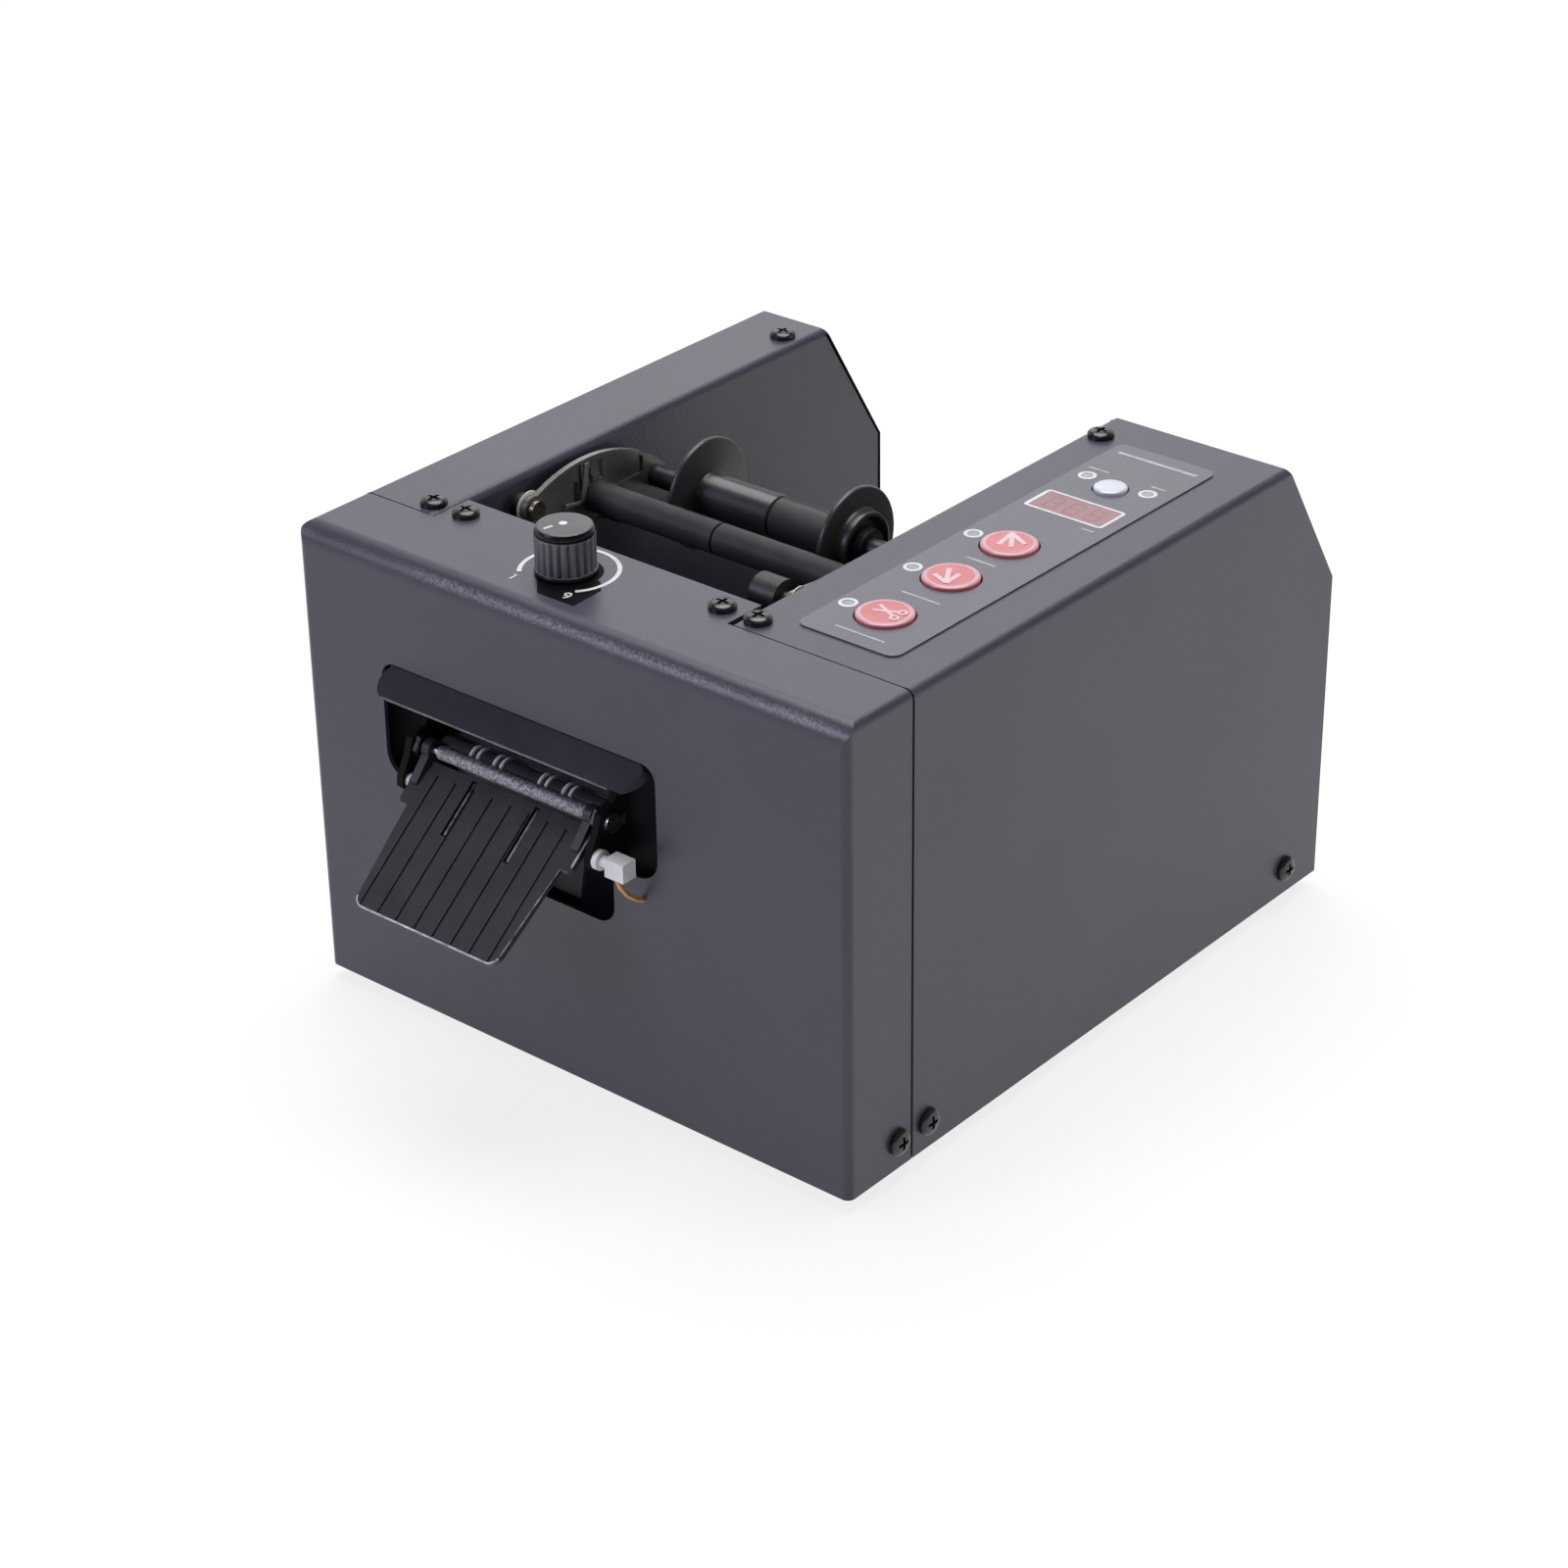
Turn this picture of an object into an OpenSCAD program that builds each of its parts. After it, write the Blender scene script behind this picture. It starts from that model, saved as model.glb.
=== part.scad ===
// Electric tape dispenser: a folded sheet case with two arms, a motor driven tape head behind the mouth,
// a roll carrier in the well between the arms, and a key panel on the right arm.
// Drawn with x across, y to the rear and z up from the lower edge of the case.

/* [Case] */
// Width over both arms
body_w = 177.5; // [177:0.5:182]
// Depth of the case without the tray
body_len = 204; // [200:1:212]
// Height of the case without the feet
body_h = 129; // [128.5:0.5:132]
// Thickness of the folded sheet
sheet = 1.2; // [1:0.1:1.4]
// Width of the left arm
left_arm_w = 24.5; // [24:0.5:26]
// Width of the right arm
right_arm_w = 56.1; // [55.5:0.1:57]
// Front edge of the well
well_front = 36.7; // [36.5:0.1:38]
// Seam between the front cover and the arm covers
seam_y = 24.1; // [23.5:0.1:25]
// Gap left at each seam
seam_gap = 0.4; // [0.3:0.1:0.6]
// Radius of the bend between front and top
front_bend = 5.5; // [4:0.5:6.5]
// Radius of the other bends
edge_bend = 2.2; // [2:0.1:2.6]
// Run of the slope at the rear of the arms
slope_run = 23.7; // [20:0.1:26]
// Drop of the slope at the rear of the arms
slope_drop = 39; // [34:0.5:44]
// Height of a rubber foot
foot_h = 4; // [3:0.5:6]
// Radius of a rubber foot
foot_r = 8; // [7:0.5:9]

/* [Mouth] */
// Overhang of the upper part of the mouth beside a cheek
mouth_over = 13.05; // [12.9:0.05:14]
// Drop of the mouth below the top of the case
mouth_drop = 30; // [29:0.1:30.4]
// Height of the upper part of the mouth
shoulder_drop = 32; // [31.6:0.1:33]
// Inset of the lower part of the mouth inside a cheek
lower_inset = 1.65; // [0.6:0.05:3.6]
// Whole height of the mouth
mouth_tall = 49; // [47:0.5:51]
// Reach of the hood in front of the case
hood_reach = 5.8; // [5:0.1:6.4]
// Drop of the hood lip below the top of the mouth
lip_drop = 6.2; // [5:0.1:6.6]

/* [Head] */
// Room between a cheek and the wall of the well
cheek_room = 15.8; // [15.5:0.05:16]
// Thickness of a cheek plate
cheek_t = 2; // [1.8:0.1:2.2]
// Depth of the exit roller axis, in front of the case face
exit_y = -2.2; // [-2.4:0.1:-2.1]
// Drop of the exit roller axis below the top of the case
exit_drop = 48; // [47.8:0.1:48.2]
// Radius of the exit roller
exit_r = 1.8; // [1.75:0.05:1.9]
// Radius of the exit shaft
exit_shaft_r = 1.2; // [1.1:0.05:1.25]
// Radius of the ring roller
ring_roller_r = 2.6; // [2.4:0.05:2.6]
// Section radius of a rubber ring
ring_r = 0.55; // [0.45:0.05:0.55]
// Radius of the feed roller
feed_r = 10; // [9.8:0.1:10.1]
// Radius of the pinch roller
pinch_r = 6.5; // [6.2:0.1:6.6]
// Radius of the feed shaft
feed_shaft_r = 3; // [2.8:0.1:3.2]

/* [Cutter] */
// Thickness of each blade
blade_t = 1.8; // [1.6:0.1:1.9]
// Travel of the moving blade
blade_stroke = 8; // [7:0.5:8]
// Rise of the cutting edge over its width
blade_shear = 3; // [2:0.5:3.5]
// Throw of the crank
crank_throw = 12; // [11.5:0.1:12.5]
// Radius of the crank pin
crank_pin_r = 2.5; // [2.3:0.1:2.6]
// Radius of both motors
motor_r = 12.8; // [12:0.1:13]
// Length of both motors
motor_len = 46; // [40:1:50]
// Gear module
gear_mod = 1; // [1:0.01:1.02]

/* [Tray] */
// Slope of the tray in degrees
tray_slope = 38.5; // [36:0.5:41]
// Length of the tray along the slope
tray_len = 41; // [36:0.5:44]
// Thickness of the tray
tray_t = 2; // [1.6:0.1:2.4]
// Inset of the tray edge inside a cheek
tray_inset = 7.05; // [6.7:0.05:8.1]
// Taper of each side edge
tray_taper = 1.6; // [0:0.1:2.4]
// Width of a groove in the tray
groove_w = 0.7; // [0.5:0.1:1]

/* [Roll carrier] */
// Depth of the carrier pivot
pivot_y = 54.9; // [54:0.1:56]
// Drop of the pivot below the top of the case
pivot_drop = 7.8; // [7.6:0.1:8.2]
// Depth of the guide roller axis
guide_y = 77.9; // [77:0.1:79]
// Drop of the guide roller axis below the top of the case
guide_drop = 12.1; // [12:0.1:12.4]
// Radius of the guide roller
guide_r = 4.3; // [4:0.1:4.5]
// Depth of the spool axis
spool_y = 101.5; // [101:0.1:102.4]
// Drop of the spool axis below the top of the case
spool_drop = 14.7; // [14.5:0.1:15]
// Radius of the spool core
core_r = 5.9; // [5.5:0.1:6.2]
// Radius of a spool flange
flange_r = 15.4; // [15:0.1:16]
// Room between a spool flange and the wall of the well
flange_room = 24.45; // [22.5:0.5:28.5]
// Thickness of a carrier arm
arm_t = 1.6; // [1.5:0.1:1.8]

/* [Controls] */
// Radius of a red key
key_r = 7.3; // [7:0.1:7.4]
// Radius of the silver key
set_key_r = 4.4; // [4.2:0.1:4.6]
// Travel of a key
key_travel = 0.5; // [0.4:0.05:0.5]
// Thickness of the key panel film
film_t = 0.4; // [0.3:0.05:0.5]
// Radius of the knob at the top
knob_top_r = 7.65; // [7.4:0.05:8]
// Radius of the knob at the bottom
knob_low_r = 7.9; // [7.8:0.05:8.1]
// Height of the knob
knob_h = 12.2; // [11.6:0.1:12.8]
// Number of flutes around the knob
knob_flutes = 22; // [16:1:24]

/* [Fits] */
// Radial clearance of a turning fit
run_fit = 0.05; // [0.03:0.01:0.08]
// Clearance between parts that pass each other
pass_gap = 0.4; // [0.35:0.01:0.45]
// Radius of a cover screw head
screw_head_r = 3.45; // [3.3:0.05:3.6]

/* [Hidden] */
$fn = 48;
right_x = body_w - right_arm_w;
path_x = (left_arm_w + right_x) / 2;
well_half = (right_x - left_arm_w) / 2;
cheek_half = well_half - cheek_room;
flange_half = well_half - flange_room;
tray_half = cheek_half - tray_inset;
mouth_half = cheek_half + mouth_over;
lower_half = cheek_half - lower_inset;
mouth_top = body_h - mouth_drop;
mouth_step = mouth_top - shoulder_drop;
mouth_low = mouth_top - mouth_tall;
hood_lip_z = mouth_top - lip_drop;
exit_z = body_h - exit_drop;
tray_reach = 3.5 + tray_len * cos(tray_slope);
rocker_lean = 8;
rear_over = 4.2 * cos(rocker_lean) + 7.6 * sin(rocker_lean) - 2;
y_mid = (body_len + rear_over - tray_reach) / 2;
floor_low = 0.6;
floor_t = 1.5;
floor_top = floor_low + floor_t;
foot_y = edge_bend + 0.2 + floor_t + 0.4;
top_in = body_h - sheet;
knob_x = path_x - 0.75;
knob_y = 21.4;
cheek_l = path_x - cheek_half;
cheek_r = path_x + cheek_half;
roll_half = cheek_half - 5.35;
exit_half = cheek_half - 7.35;
feed_half = cheek_half - 5.65;
blade_half = cheek_half - 7.65;
apron_half = cheek_half - 15.8;
ear_half = cheek_half - 3.85;
hub_x = cheek_half - 5.45;
sensor_y = -7;
sensor_z = exit_z - 8;
ring_y = 3.2;
ring_z = exit_z - 1.2;
feed_y = 22.5;
feed_z = ring_z + ring_roller_r + ring_r + 0.55 - feed_r;
pinch_z = feed_z + feed_r + pass_gap + pinch_r;
fixed_y = 7.2;
moving_y = fixed_y + blade_t + pass_gap;
edge_z = feed_z + feed_r - 0.9;
blade_rest = edge_z + 3.9;
crank_y = 22;
crank_z = exit_z + 19;
crank_swing = asin(blade_stroke / (2 * crank_throw));
yoke_x = cheek_r + 2;
yoke_t = 3;
yoke_z = crank_z + blade_stroke / 2;
gear_x = cheek_r + 2.35;
gear_t = 4;
gear_teeth = 20;
pinion_teeth = 14;
gear_span = gear_mod * (gear_teeth + pinion_teeth) / 2;
feed_motor_y = 19.5;
feed_motor_z = feed_z - sqrt(gear_span * gear_span - (feed_y - feed_motor_y) * (feed_y - feed_motor_y));
mesh_turn = atan2(feed_y - feed_motor_y, feed_z - feed_motor_z);
plate_x = cheek_r + 10.45;
plate_t = 2;
motor_x = plate_x + plate_t;
pivot_z = body_h - pivot_drop;
guide_z = body_h - guide_drop;
spool_z = body_h - spool_drop;
arm_out = well_half - 3.7;
arm_in = arm_out - arm_t;
arm_web = 1;
pin_r = 2;
arc_y = pivot_y + 19.9;
arc_z = body_h - 45.6;
arc_r = 45.1;
film_x0 = right_x + 12.6;
film_x1 = body_w - 13.3;
film_y0 = 34;
film_y1 = body_len - 37;
key_x = (film_x0 + film_x1) / 2 - 0.5;
key_step = (film_y1 - film_y0) / 133;
key_ys = [film_y0 + 16.1 * key_step, film_y0 + 41.7 * key_step, film_y0 + 65.2 * key_step];
set_y = film_y1 - 25.3;
disp_x0 = film_x0 + 2.6;
disp_x1 = film_x1 - 4.3;
disp_y0 = film_y1 - 45.4;
disp_y1 = film_y1 - 35.2;
lamp_pts = [[film_x0 + 3.4, key_ys[2] + 0.1], [film_x0 + 3.4, key_ys[1] - 0.7], [film_x0 + 3.4, key_ys[0] - 0.1],
  [film_x0 + 5.1, film_y1 - 22.1], [film_x1 - 6.4, film_y1 - 22]];
lamp_r = 1.4;
board_top = top_in - 8.2;
board_t = 1.6;
socket_x = right_x + 28;
rocker_z = body_h - slope_drop - 28;
inlet_z = rocker_z - 28;

// Moves the drawing so that the origin lies under the middle of the whole machine, at the floor
module at_origin() {
  translate([-body_w / 2, -y_mid, foot_h]) children();
}

// Turns a side view drawn as (depth, height) into a solid from x0 over the width w
module side_view(x0, w) {
  translate([x0, 0, 0]) rotate([90, 0, 90]) linear_extrude(w) children();
}

// Turns a front view drawn as (width, height) into a solid from y0 over the depth d
module front_view(y0, d) {
  translate([0, y0 + d, 0]) rotate([90, 0, 0]) linear_extrude(d) children();
}

// Round bar along x
module x_bar(x0, len, y, z, r) {
  translate([x0, y, z]) rotate([0, 90, 0]) cylinder(h = len, r = r);
}

// Rectangle with four round corners
module soft_rect(a0, b0, a1, b1, r) {
  translate([a0 + r, b0]) square([a1 - a0 - 2 * r, b1 - b0]);
  translate([a0, b0 + r]) square([a1 - a0, b1 - b0 - 2 * r]);
  translate([a0 + r, b0 + r]) circle(r);
  translate([a1 - r, b0 + r]) circle(r);
  translate([a0 + r, b1 - r]) circle(r);
  translate([a1 - r, b1 - r]) circle(r);
}

// Inverted channel seen from the front: square at the bottom, round at both upper corners
module channel_shape(a0, a1, b0, b1, r) {
  translate([a0, b0]) square([a1 - a0, b1 - b0 - r]);
  translate([a0 + r, b0]) square([a1 - a0 - 2 * r, b1 - b0]);
  translate([a0 + r, b1 - r]) circle(r);
  translate([a1 - r, b1 - r]) circle(r);
}

// Front block of the case, shrunk by a given inset on its outer faces
module front_block(inset) {
  r1 = front_bend - inset;
  r2 = edge_bend - inset;
  intersection() {
    side_view(0, body_w) {
      translate([inset, -1]) square([well_front + 5, body_h + 1 - inset - r1]);
      translate([inset + r1, -1]) square([well_front + 5, body_h + 1 - inset]);
      translate([inset + r1, body_h - inset - r1]) circle(r1);
    }
    front_view(-1, well_front + 10) channel_shape(inset, body_w - inset, -1, body_h - inset, r2);
    translate([0, 0, -1]) linear_extrude(body_h + 2) {
      translate([inset, inset + r2]) square([body_w - 2 * inset, well_front + 10]);
      translate([inset + r2, inset]) square([body_w - 2 * inset - 2 * r2, well_front + 10]);
      translate([inset + r2, inset + r2]) circle(r2);
      translate([body_w - inset - r2, inset + r2]) circle(r2);
    }
  }
}

// Side outline of an arm with the slope at its rear
module arm_outline(y0) {
  polygon([[y0, 0], [body_len, 0], [body_len, body_h - slope_drop], [body_len - slope_run, body_h], [y0, body_h]]);
}

// Folded channel that covers an arm, open at the rear and at the bottom
module arm_channel(x0, x1) {
  intersection() {
    front_view(seam_y + seam_gap, body_len) difference() {
      channel_shape(x0, x1, 0, body_h, edge_bend);
      channel_shape(x0 + sheet, x1 - sheet, -1, body_h - sheet, edge_bend - sheet);
    }
    side_view(x0 - 1, x1 - x0 + 2) arm_outline(seam_y);
  }
}

// Pan head screw pointing along +z, seated on z = 0
module pan_screw() {
  difference() {
    union() {
      cylinder(h = 1, r = screw_head_r);
      translate([0, 0, 1]) cylinder(h = 0.6, r1 = screw_head_r, r2 = screw_head_r - 0.9);
      translate([0, 0, -4]) cylinder(h = 4.1, r = 2);
    }
    translate([-1.9, -0.5, 0.7]) cube([3.8, 1, 2]);
    translate([-0.5, -1.9, 0.7]) cube([1, 3.8, 2]);
  }
}

// Spur gear around z with short teeth
module spur(teeth, h, bore) {
  rp = gear_mod * teeth / 2;
  pitch = 360 / teeth;
  difference() {
    union() {
      cylinder(h = h, r = rp - 1.2 * gear_mod);
      for (i = [0 : teeth - 1]) rotate(i * pitch) linear_extrude(h)
        polygon([[rp - 1.4 * gear_mod, -0.62 * gear_mod], [rp, -0.58 * gear_mod], [rp + 0.75 * gear_mod, -0.3 * gear_mod],
          [rp + 0.75 * gear_mod, 0.3 * gear_mod], [rp, 0.58 * gear_mod], [rp - 1.4 * gear_mod, 0.62 * gear_mod]]);
    }
    translate([0, 0, -1]) cylinder(h = h + 2, r = bore);
  }
}

// Floor of the case: a tray of sheet with upturned edges, foot holes and vent slots
module base_plate() color([0.16, 0.16, 0.18]) at_origin() {
  x0 = sheet;
  x1 = body_w - sheet;
  y0 = edge_bend + 0.2;
  y1 = body_len - sheet;
  difference() {
    translate([x0, y0, floor_low]) cube([x1 - x0, y1 - y0, 13.4]);
    translate([x0 + floor_t, y0 + floor_t, floor_top]) cube([x1 - x0 - 2 * floor_t, y1 - y0 - 2 * floor_t, 20]);
    translate([left_arm_w - sheet - 0.5, body_len - 20, floor_top]) cube([right_x - left_arm_w + 2 * sheet + 1, 30, 20]);
    for (x = [18, body_w - 18], y = [20, body_len - 20]) translate([x, y, 0]) cylinder(h = 9, r = 2.2);
    for (i = [0 : 6]) translate([right_x + 12, 60 + 12 * i, 0]) cube([30, 3, 9]);
    for (y = [18.9, 30.5, body_len - 15.8], x = [-1, body_w - 5]) x_bar(x, 6, y, 7.9, 2.15);
  }
}

// Rubber foot with a countersunk middle
module foot(x, y) color([0.09, 0.09, 0.09]) at_origin() translate([x, y, 0]) difference() {
  translate([0, 0, -foot_h]) cylinder(h = foot_h + floor_low, r1 = foot_r - 1, r2 = foot_r);
  translate([0, 0, -foot_h - 1]) cylinder(h = 2.6, r = 4);
  translate([0, 0, -foot_h - 1]) cylinder(h = foot_h + 5, r = 2.1);
}
module foot_front_left() foot(18, 20);
module foot_front_right() foot(body_w - 18, 20);
module foot_rear_left() foot(18, body_len - 20);
module foot_rear_right() foot(body_w - 18, body_len - 20);

// Stepped opening the tape head looks out of
module mouth_shape() {
  soft_rect(path_x - mouth_half, mouth_step, path_x + mouth_half, mouth_top, 6.5);
  soft_rect(path_x - mouth_half, mouth_top - 16, path_x + mouth_half, mouth_top, 4.5);
  soft_rect(path_x - lower_half, mouth_low, path_x + lower_half, mouth_step + 15, 5.5);
}

// Front of the case with its top tongue, its short side walls and its two side and two top screws
module front_cover() color([0.33, 0.33, 0.36]) at_origin() {
  difference() {
    intersection() {
      difference() {
        front_block(0);
        front_block(sheet);
      }
      union() {
        translate([-1, -1, 0]) cube([body_w + 2, seam_y + 1, body_h + 1]);
        translate([left_arm_w, -1, top_in]) cube([right_x - left_arm_w, well_front + 1, sheet + 1]);
      }
    }
    front_view(-1, 5) mouth_shape();
    translate([knob_x, knob_y, top_in - 1]) cylinder(h = sheet + 2, r = 3.7);
  }
  for (x = [left_arm_w + 5.8, right_x - 6.2]) translate([x, 29.7, body_h]) pan_screw();
  translate([body_w, 18.9, 7.9]) rotate([0, 90, 0]) pan_screw();
  translate([0, 18.9, 7.9]) rotate([0, -90, 0]) pan_screw();
}

// Channel over the left arm with its four screws
module left_cover() color([0.33, 0.33, 0.36]) at_origin() {
  pts = [[left_arm_w - 5.1, 29.4], [left_arm_w - 6.7, body_len - 35]];
  difference() {
    arm_channel(0, left_arm_w - seam_gap / 2);
    translate([left_arm_w - 2 * sheet, 0, -1]) cube([3 * sheet, well_front + 0.3, top_in + 1]);
    translate([left_arm_w - 2 * sheet, 0, -1]) cube([3 * sheet, body_len + 1, floor_top + 1.2]);
  }
  for (p = pts) translate([p[0], p[1], body_h]) pan_screw();
  for (y = [30.5, body_len - 15.8]) translate([0, y, 7.9]) rotate([0, -90, 0]) pan_screw();
}

// Channel over the right arm, pierced for the keys, the lamps and the display, with its four screws
module right_cover() color([0.33, 0.33, 0.36]) at_origin() {
  pts = [[right_x + 5, 29.6], [right_x + 5.4, body_len - 36.1]];
  difference() {
    arm_channel(right_x + seam_gap / 2, body_w);
    translate([right_x - sheet, 0, -1]) cube([3 * sheet, well_front + 0.3, top_in + 1]);
    translate([right_x - sheet, 0, -1]) cube([3 * sheet, body_len + 1, floor_top + 1.2]);
    for (y = key_ys) translate([key_x, y, top_in - 1]) cylinder(h = sheet + 2, r = key_r + pass_gap);
    translate([key_x, set_y, top_in - 1]) cylinder(h = sheet + 2, r = set_key_r + pass_gap);
    for (p = lamp_pts) translate([p[0], p[1], top_in - 1]) cylinder(h = sheet + 2, r = lamp_r);
    translate([disp_x0, disp_y0, top_in - 1]) cube([disp_x1 - disp_x0, disp_y1 - disp_y0, sheet + 2]);
  }
  for (p = pts) translate([p[0], p[1], body_h]) pan_screw();
  for (y = [30.5, body_len - 15.8]) translate([body_w, y, 7.9]) rotate([0, 90, 0]) pan_screw();
}

// Side view of the sheet that closes the rear of an arm along the slope and the back
module rear_strip() {
  k = sheet * (sqrt(slope_run * slope_run + slope_drop * slope_drop) - slope_run) / slope_drop;
  j = sheet * sqrt(slope_run * slope_run + slope_drop * slope_drop) / slope_drop;
  polygon([[body_len, floor_top + 0.2], [body_len, body_h - slope_drop],
    [body_len - slope_run + slope_run * 2 / slope_drop, body_h - 2],
    [body_len - slope_run + slope_run * 2 / slope_drop - j, body_h - 2],
    [body_len - sheet, body_h - slope_drop - k], [body_len - sheet, floor_top + 0.2]]);
}
module left_rear_panel() color([0.28, 0.28, 0.3]) at_origin()
  side_view(sheet, left_arm_w - seam_gap / 2 - 2 * sheet) rear_strip();
module right_rear_panel() color([0.28, 0.28, 0.3]) at_origin() difference() {
  side_view(right_x + seam_gap / 2 + sheet, right_arm_w - seam_gap / 2 - 2 * sheet) rear_strip();
  translate([socket_x - 6.5, body_len - 5, rocker_z - 9.7]) cube([13, 10, 19.4]);
  translate([socket_x, body_len + 1, inlet_z]) rotate([90, 0, 0]) cylinder(h = 6, r = 4.15);
}

// Upright sheet between the arms at the front of the well, with the slot the tape enters by
module well_panel() color([0.2, 0.2, 0.22]) at_origin() difference() {
  translate([left_arm_w, well_front - sheet, floor_top]) cube([right_x - left_arm_w, sheet, top_in - floor_top]);
  front_view(well_front - 3, 5) soft_rect(path_x - lower_half, exit_z - 3, path_x + lower_half, exit_z + 14, 4);
}

// Moulded visor over the mouth with rounded upper corners, held behind the upper edge of the opening
module mouth_hood() color([0.12, 0.12, 0.13]) at_origin() {
  hx0 = path_x - mouth_half + 2.2;
  hx1 = path_x + mouth_half - 2.2;
  drop = mouth_top - 0.3 - hood_lip_z;
  k = 1.6 * sqrt(hood_reach * hood_reach + drop * drop) / drop;
  difference() {
    intersection() {
      side_view(hx0, hx1 - hx0) polygon([[sheet + 1.6, mouth_top + 7], [sheet, mouth_top + 7], [sheet, mouth_top - 0.3],
        [0, mouth_top - 0.3], [-hood_reach, hood_lip_z], [-hood_reach + 0.9, hood_lip_z - 0.8],
        [-hood_reach + k, hood_lip_z], [sheet + 1.6, mouth_top - 2.6]]);
      linear_extrude(body_h) {
        translate([hx0 + 3, -hood_reach]) square([hx1 - hx0 - 11, 30]);
        translate([hx0, -hood_reach + 3]) square([hx1 - hx0 - 8, 30]);
        translate([hx0 + 3, -hood_reach + 3]) circle(3);
        translate([hx1 - 8, -hood_reach + 8]) circle(8);
        translate([hx1 - 9, -hood_reach + 8]) square([9, 30]);
      }
    }
    front_view(-hood_reach - 1, hood_reach + 1 + sheet) {
      difference() {
        translate([hx0 - 1, mouth_top - 3.3]) square([4, 5]);
        translate([hx0 + 3, mouth_top - 3.3]) circle(3);
      }
      difference() {
        translate([hx1 - 3, mouth_top - 3.3]) square([4, 5]);
        translate([hx1 - 3, mouth_top - 3.3]) circle(3);
      }
    }
  }
}

// Side view of a cheek plate: a foot on the floor, and a nose that looks out of the mouth
module cheek_shape() {
  polygon([[foot_y, floor_top], [34, floor_top], [34, exit_z + 23], [3, exit_z + 23], [3, exit_z + 9], [-1, exit_z + 4.8],
    [-5.4, exit_z + 3], [-6.6, exit_z - 1], [-9.6, exit_z - 6.6], [-9.8, exit_z - 9], [-7.9, exit_z - 11], [3, exit_z - 12.2],
    [3, 15.4], [foot_y, 15.4]]);
}

// Cuts common to both cheek plates
module cheek_holes(x0) {
  x_bar(x0, cheek_t + 2, exit_y, exit_z, exit_shaft_r);
  x_bar(x0, cheek_t + 2, ring_y, ring_z, 1.5 + run_fit);
  x_bar(x0, cheek_t + 2, feed_y, feed_z, feed_shaft_r + run_fit);
  x_bar(x0, cheek_t + 2, feed_y, pinch_z, 2 + run_fit);
  x_bar(x0, cheek_t + 2, 18, exit_z - 51, 8);
  x_bar(x0, cheek_t + 2, sensor_y, sensor_z, 1.3);
}
module left_cheek() color([0.14, 0.14, 0.15]) at_origin() difference() {
  side_view(cheek_l, cheek_t) cheek_shape();
  cheek_holes(cheek_l - 1);
}
module right_cheek() color([0.14, 0.14, 0.15]) at_origin() difference() {
  side_view(cheek_r - cheek_t, cheek_t) cheek_shape();
  cheek_holes(cheek_r - cheek_t - 1);
  translate([cheek_r - 5, moving_y + blade_t - 0.4, yoke_z - 5.5 - blade_stroke])
    cube([10, 3.8, blade_stroke + 20]);
}

// Cross plate under the tray that keeps the cheeks apart, with an apron in the lower part of the mouth
module tray_stay() color([0.13, 0.13, 0.14]) at_origin() {
  front_view(3, 1.5) {
    polygon([[cheek_l + cheek_t, exit_z - 18], [cheek_l + cheek_t, exit_z - 13], [cheek_r - cheek_t, exit_z - 13],
      [cheek_r - cheek_t, exit_z - 18], [path_x + apron_half + 1.8, exit_z - 18.5], [path_x + apron_half, exit_z - 29.5],
      [path_x - apron_half, exit_z - 29.5], [path_x - apron_half - 1.8, exit_z - 18.5]]);
  }
}

// Fixed pin through both cheeks with a nut on the inner side of each
module exit_shaft() color([0.45, 0.45, 0.47]) at_origin() {
  x_bar(cheek_l - 1, 2 * cheek_half + 2, exit_y, exit_z, exit_shaft_r);
  x_bar(cheek_l + cheek_t, 1.4, exit_y, exit_z, 3.1);
  x_bar(cheek_r - cheek_t - 1.4, 1.4, exit_y, exit_z, 3.1);
  x_bar(cheek_l - 1.2, 1.2, exit_y, exit_z, 2.6);
  x_bar(cheek_r, 1.2, exit_y, exit_z, 2.6);
}

// Knurled sleeve the tape leaves over
module exit_roller() color([0.5, 0.5, 0.52]) at_origin() difference() {
  x_bar(path_x - exit_half + 1.2, 2 * exit_half - 1.2, exit_y, exit_z, exit_r);
  x_bar(cheek_l, 2 * cheek_half, exit_y, exit_z, exit_shaft_r + run_fit);
}

// Slim roller behind the exit roller, turning in the cheeks
module ring_roller() color([0.15, 0.15, 0.16]) at_origin() {
  x_bar(path_x - roll_half, 2 * roll_half, ring_y, ring_z, ring_roller_r);
  x_bar(cheek_l, 2 * cheek_half, ring_y, ring_z, 1.5);
}

// Rubber rings in pairs on the slim roller
module roller_rings() color([0.3, 0.3, 0.31]) at_origin()
  for (d = [-0.568, -0.278, 0.278, 0.568], e = [-1.15, 1.15])
    translate([path_x + d * roll_half + e, ring_y, ring_z]) rotate([0, 90, 0])
      rotate_extrude() translate([ring_roller_r, 0]) intersection() {
        circle(ring_r);
        translate([0, -2]) square([3, 4]);
      }

// Rubber covered drive roller, its shaft and its gear
module feed_roller() color([0.2, 0.2, 0.2]) at_origin() difference() {
  x_bar(path_x - feed_half, 2 * feed_half, feed_y, feed_z, feed_r);
  x_bar(cheek_l, 2 * cheek_half, feed_y, feed_z, feed_shaft_r);
}
module feed_shaft() color([0.62, 0.62, 0.64]) at_origin() {
  x_bar(cheek_l - 4, gear_x + gear_t + 1 - cheek_l + 4, feed_y, feed_z, feed_shaft_r);
}
module feed_gear() color([0.75, 0.74, 0.7]) at_origin() translate([gear_x, feed_y, feed_z]) rotate([-mesh_turn, 0, 0])
  rotate([0, 90, 0]) spur(gear_teeth, gear_t, feed_shaft_r);

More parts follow.
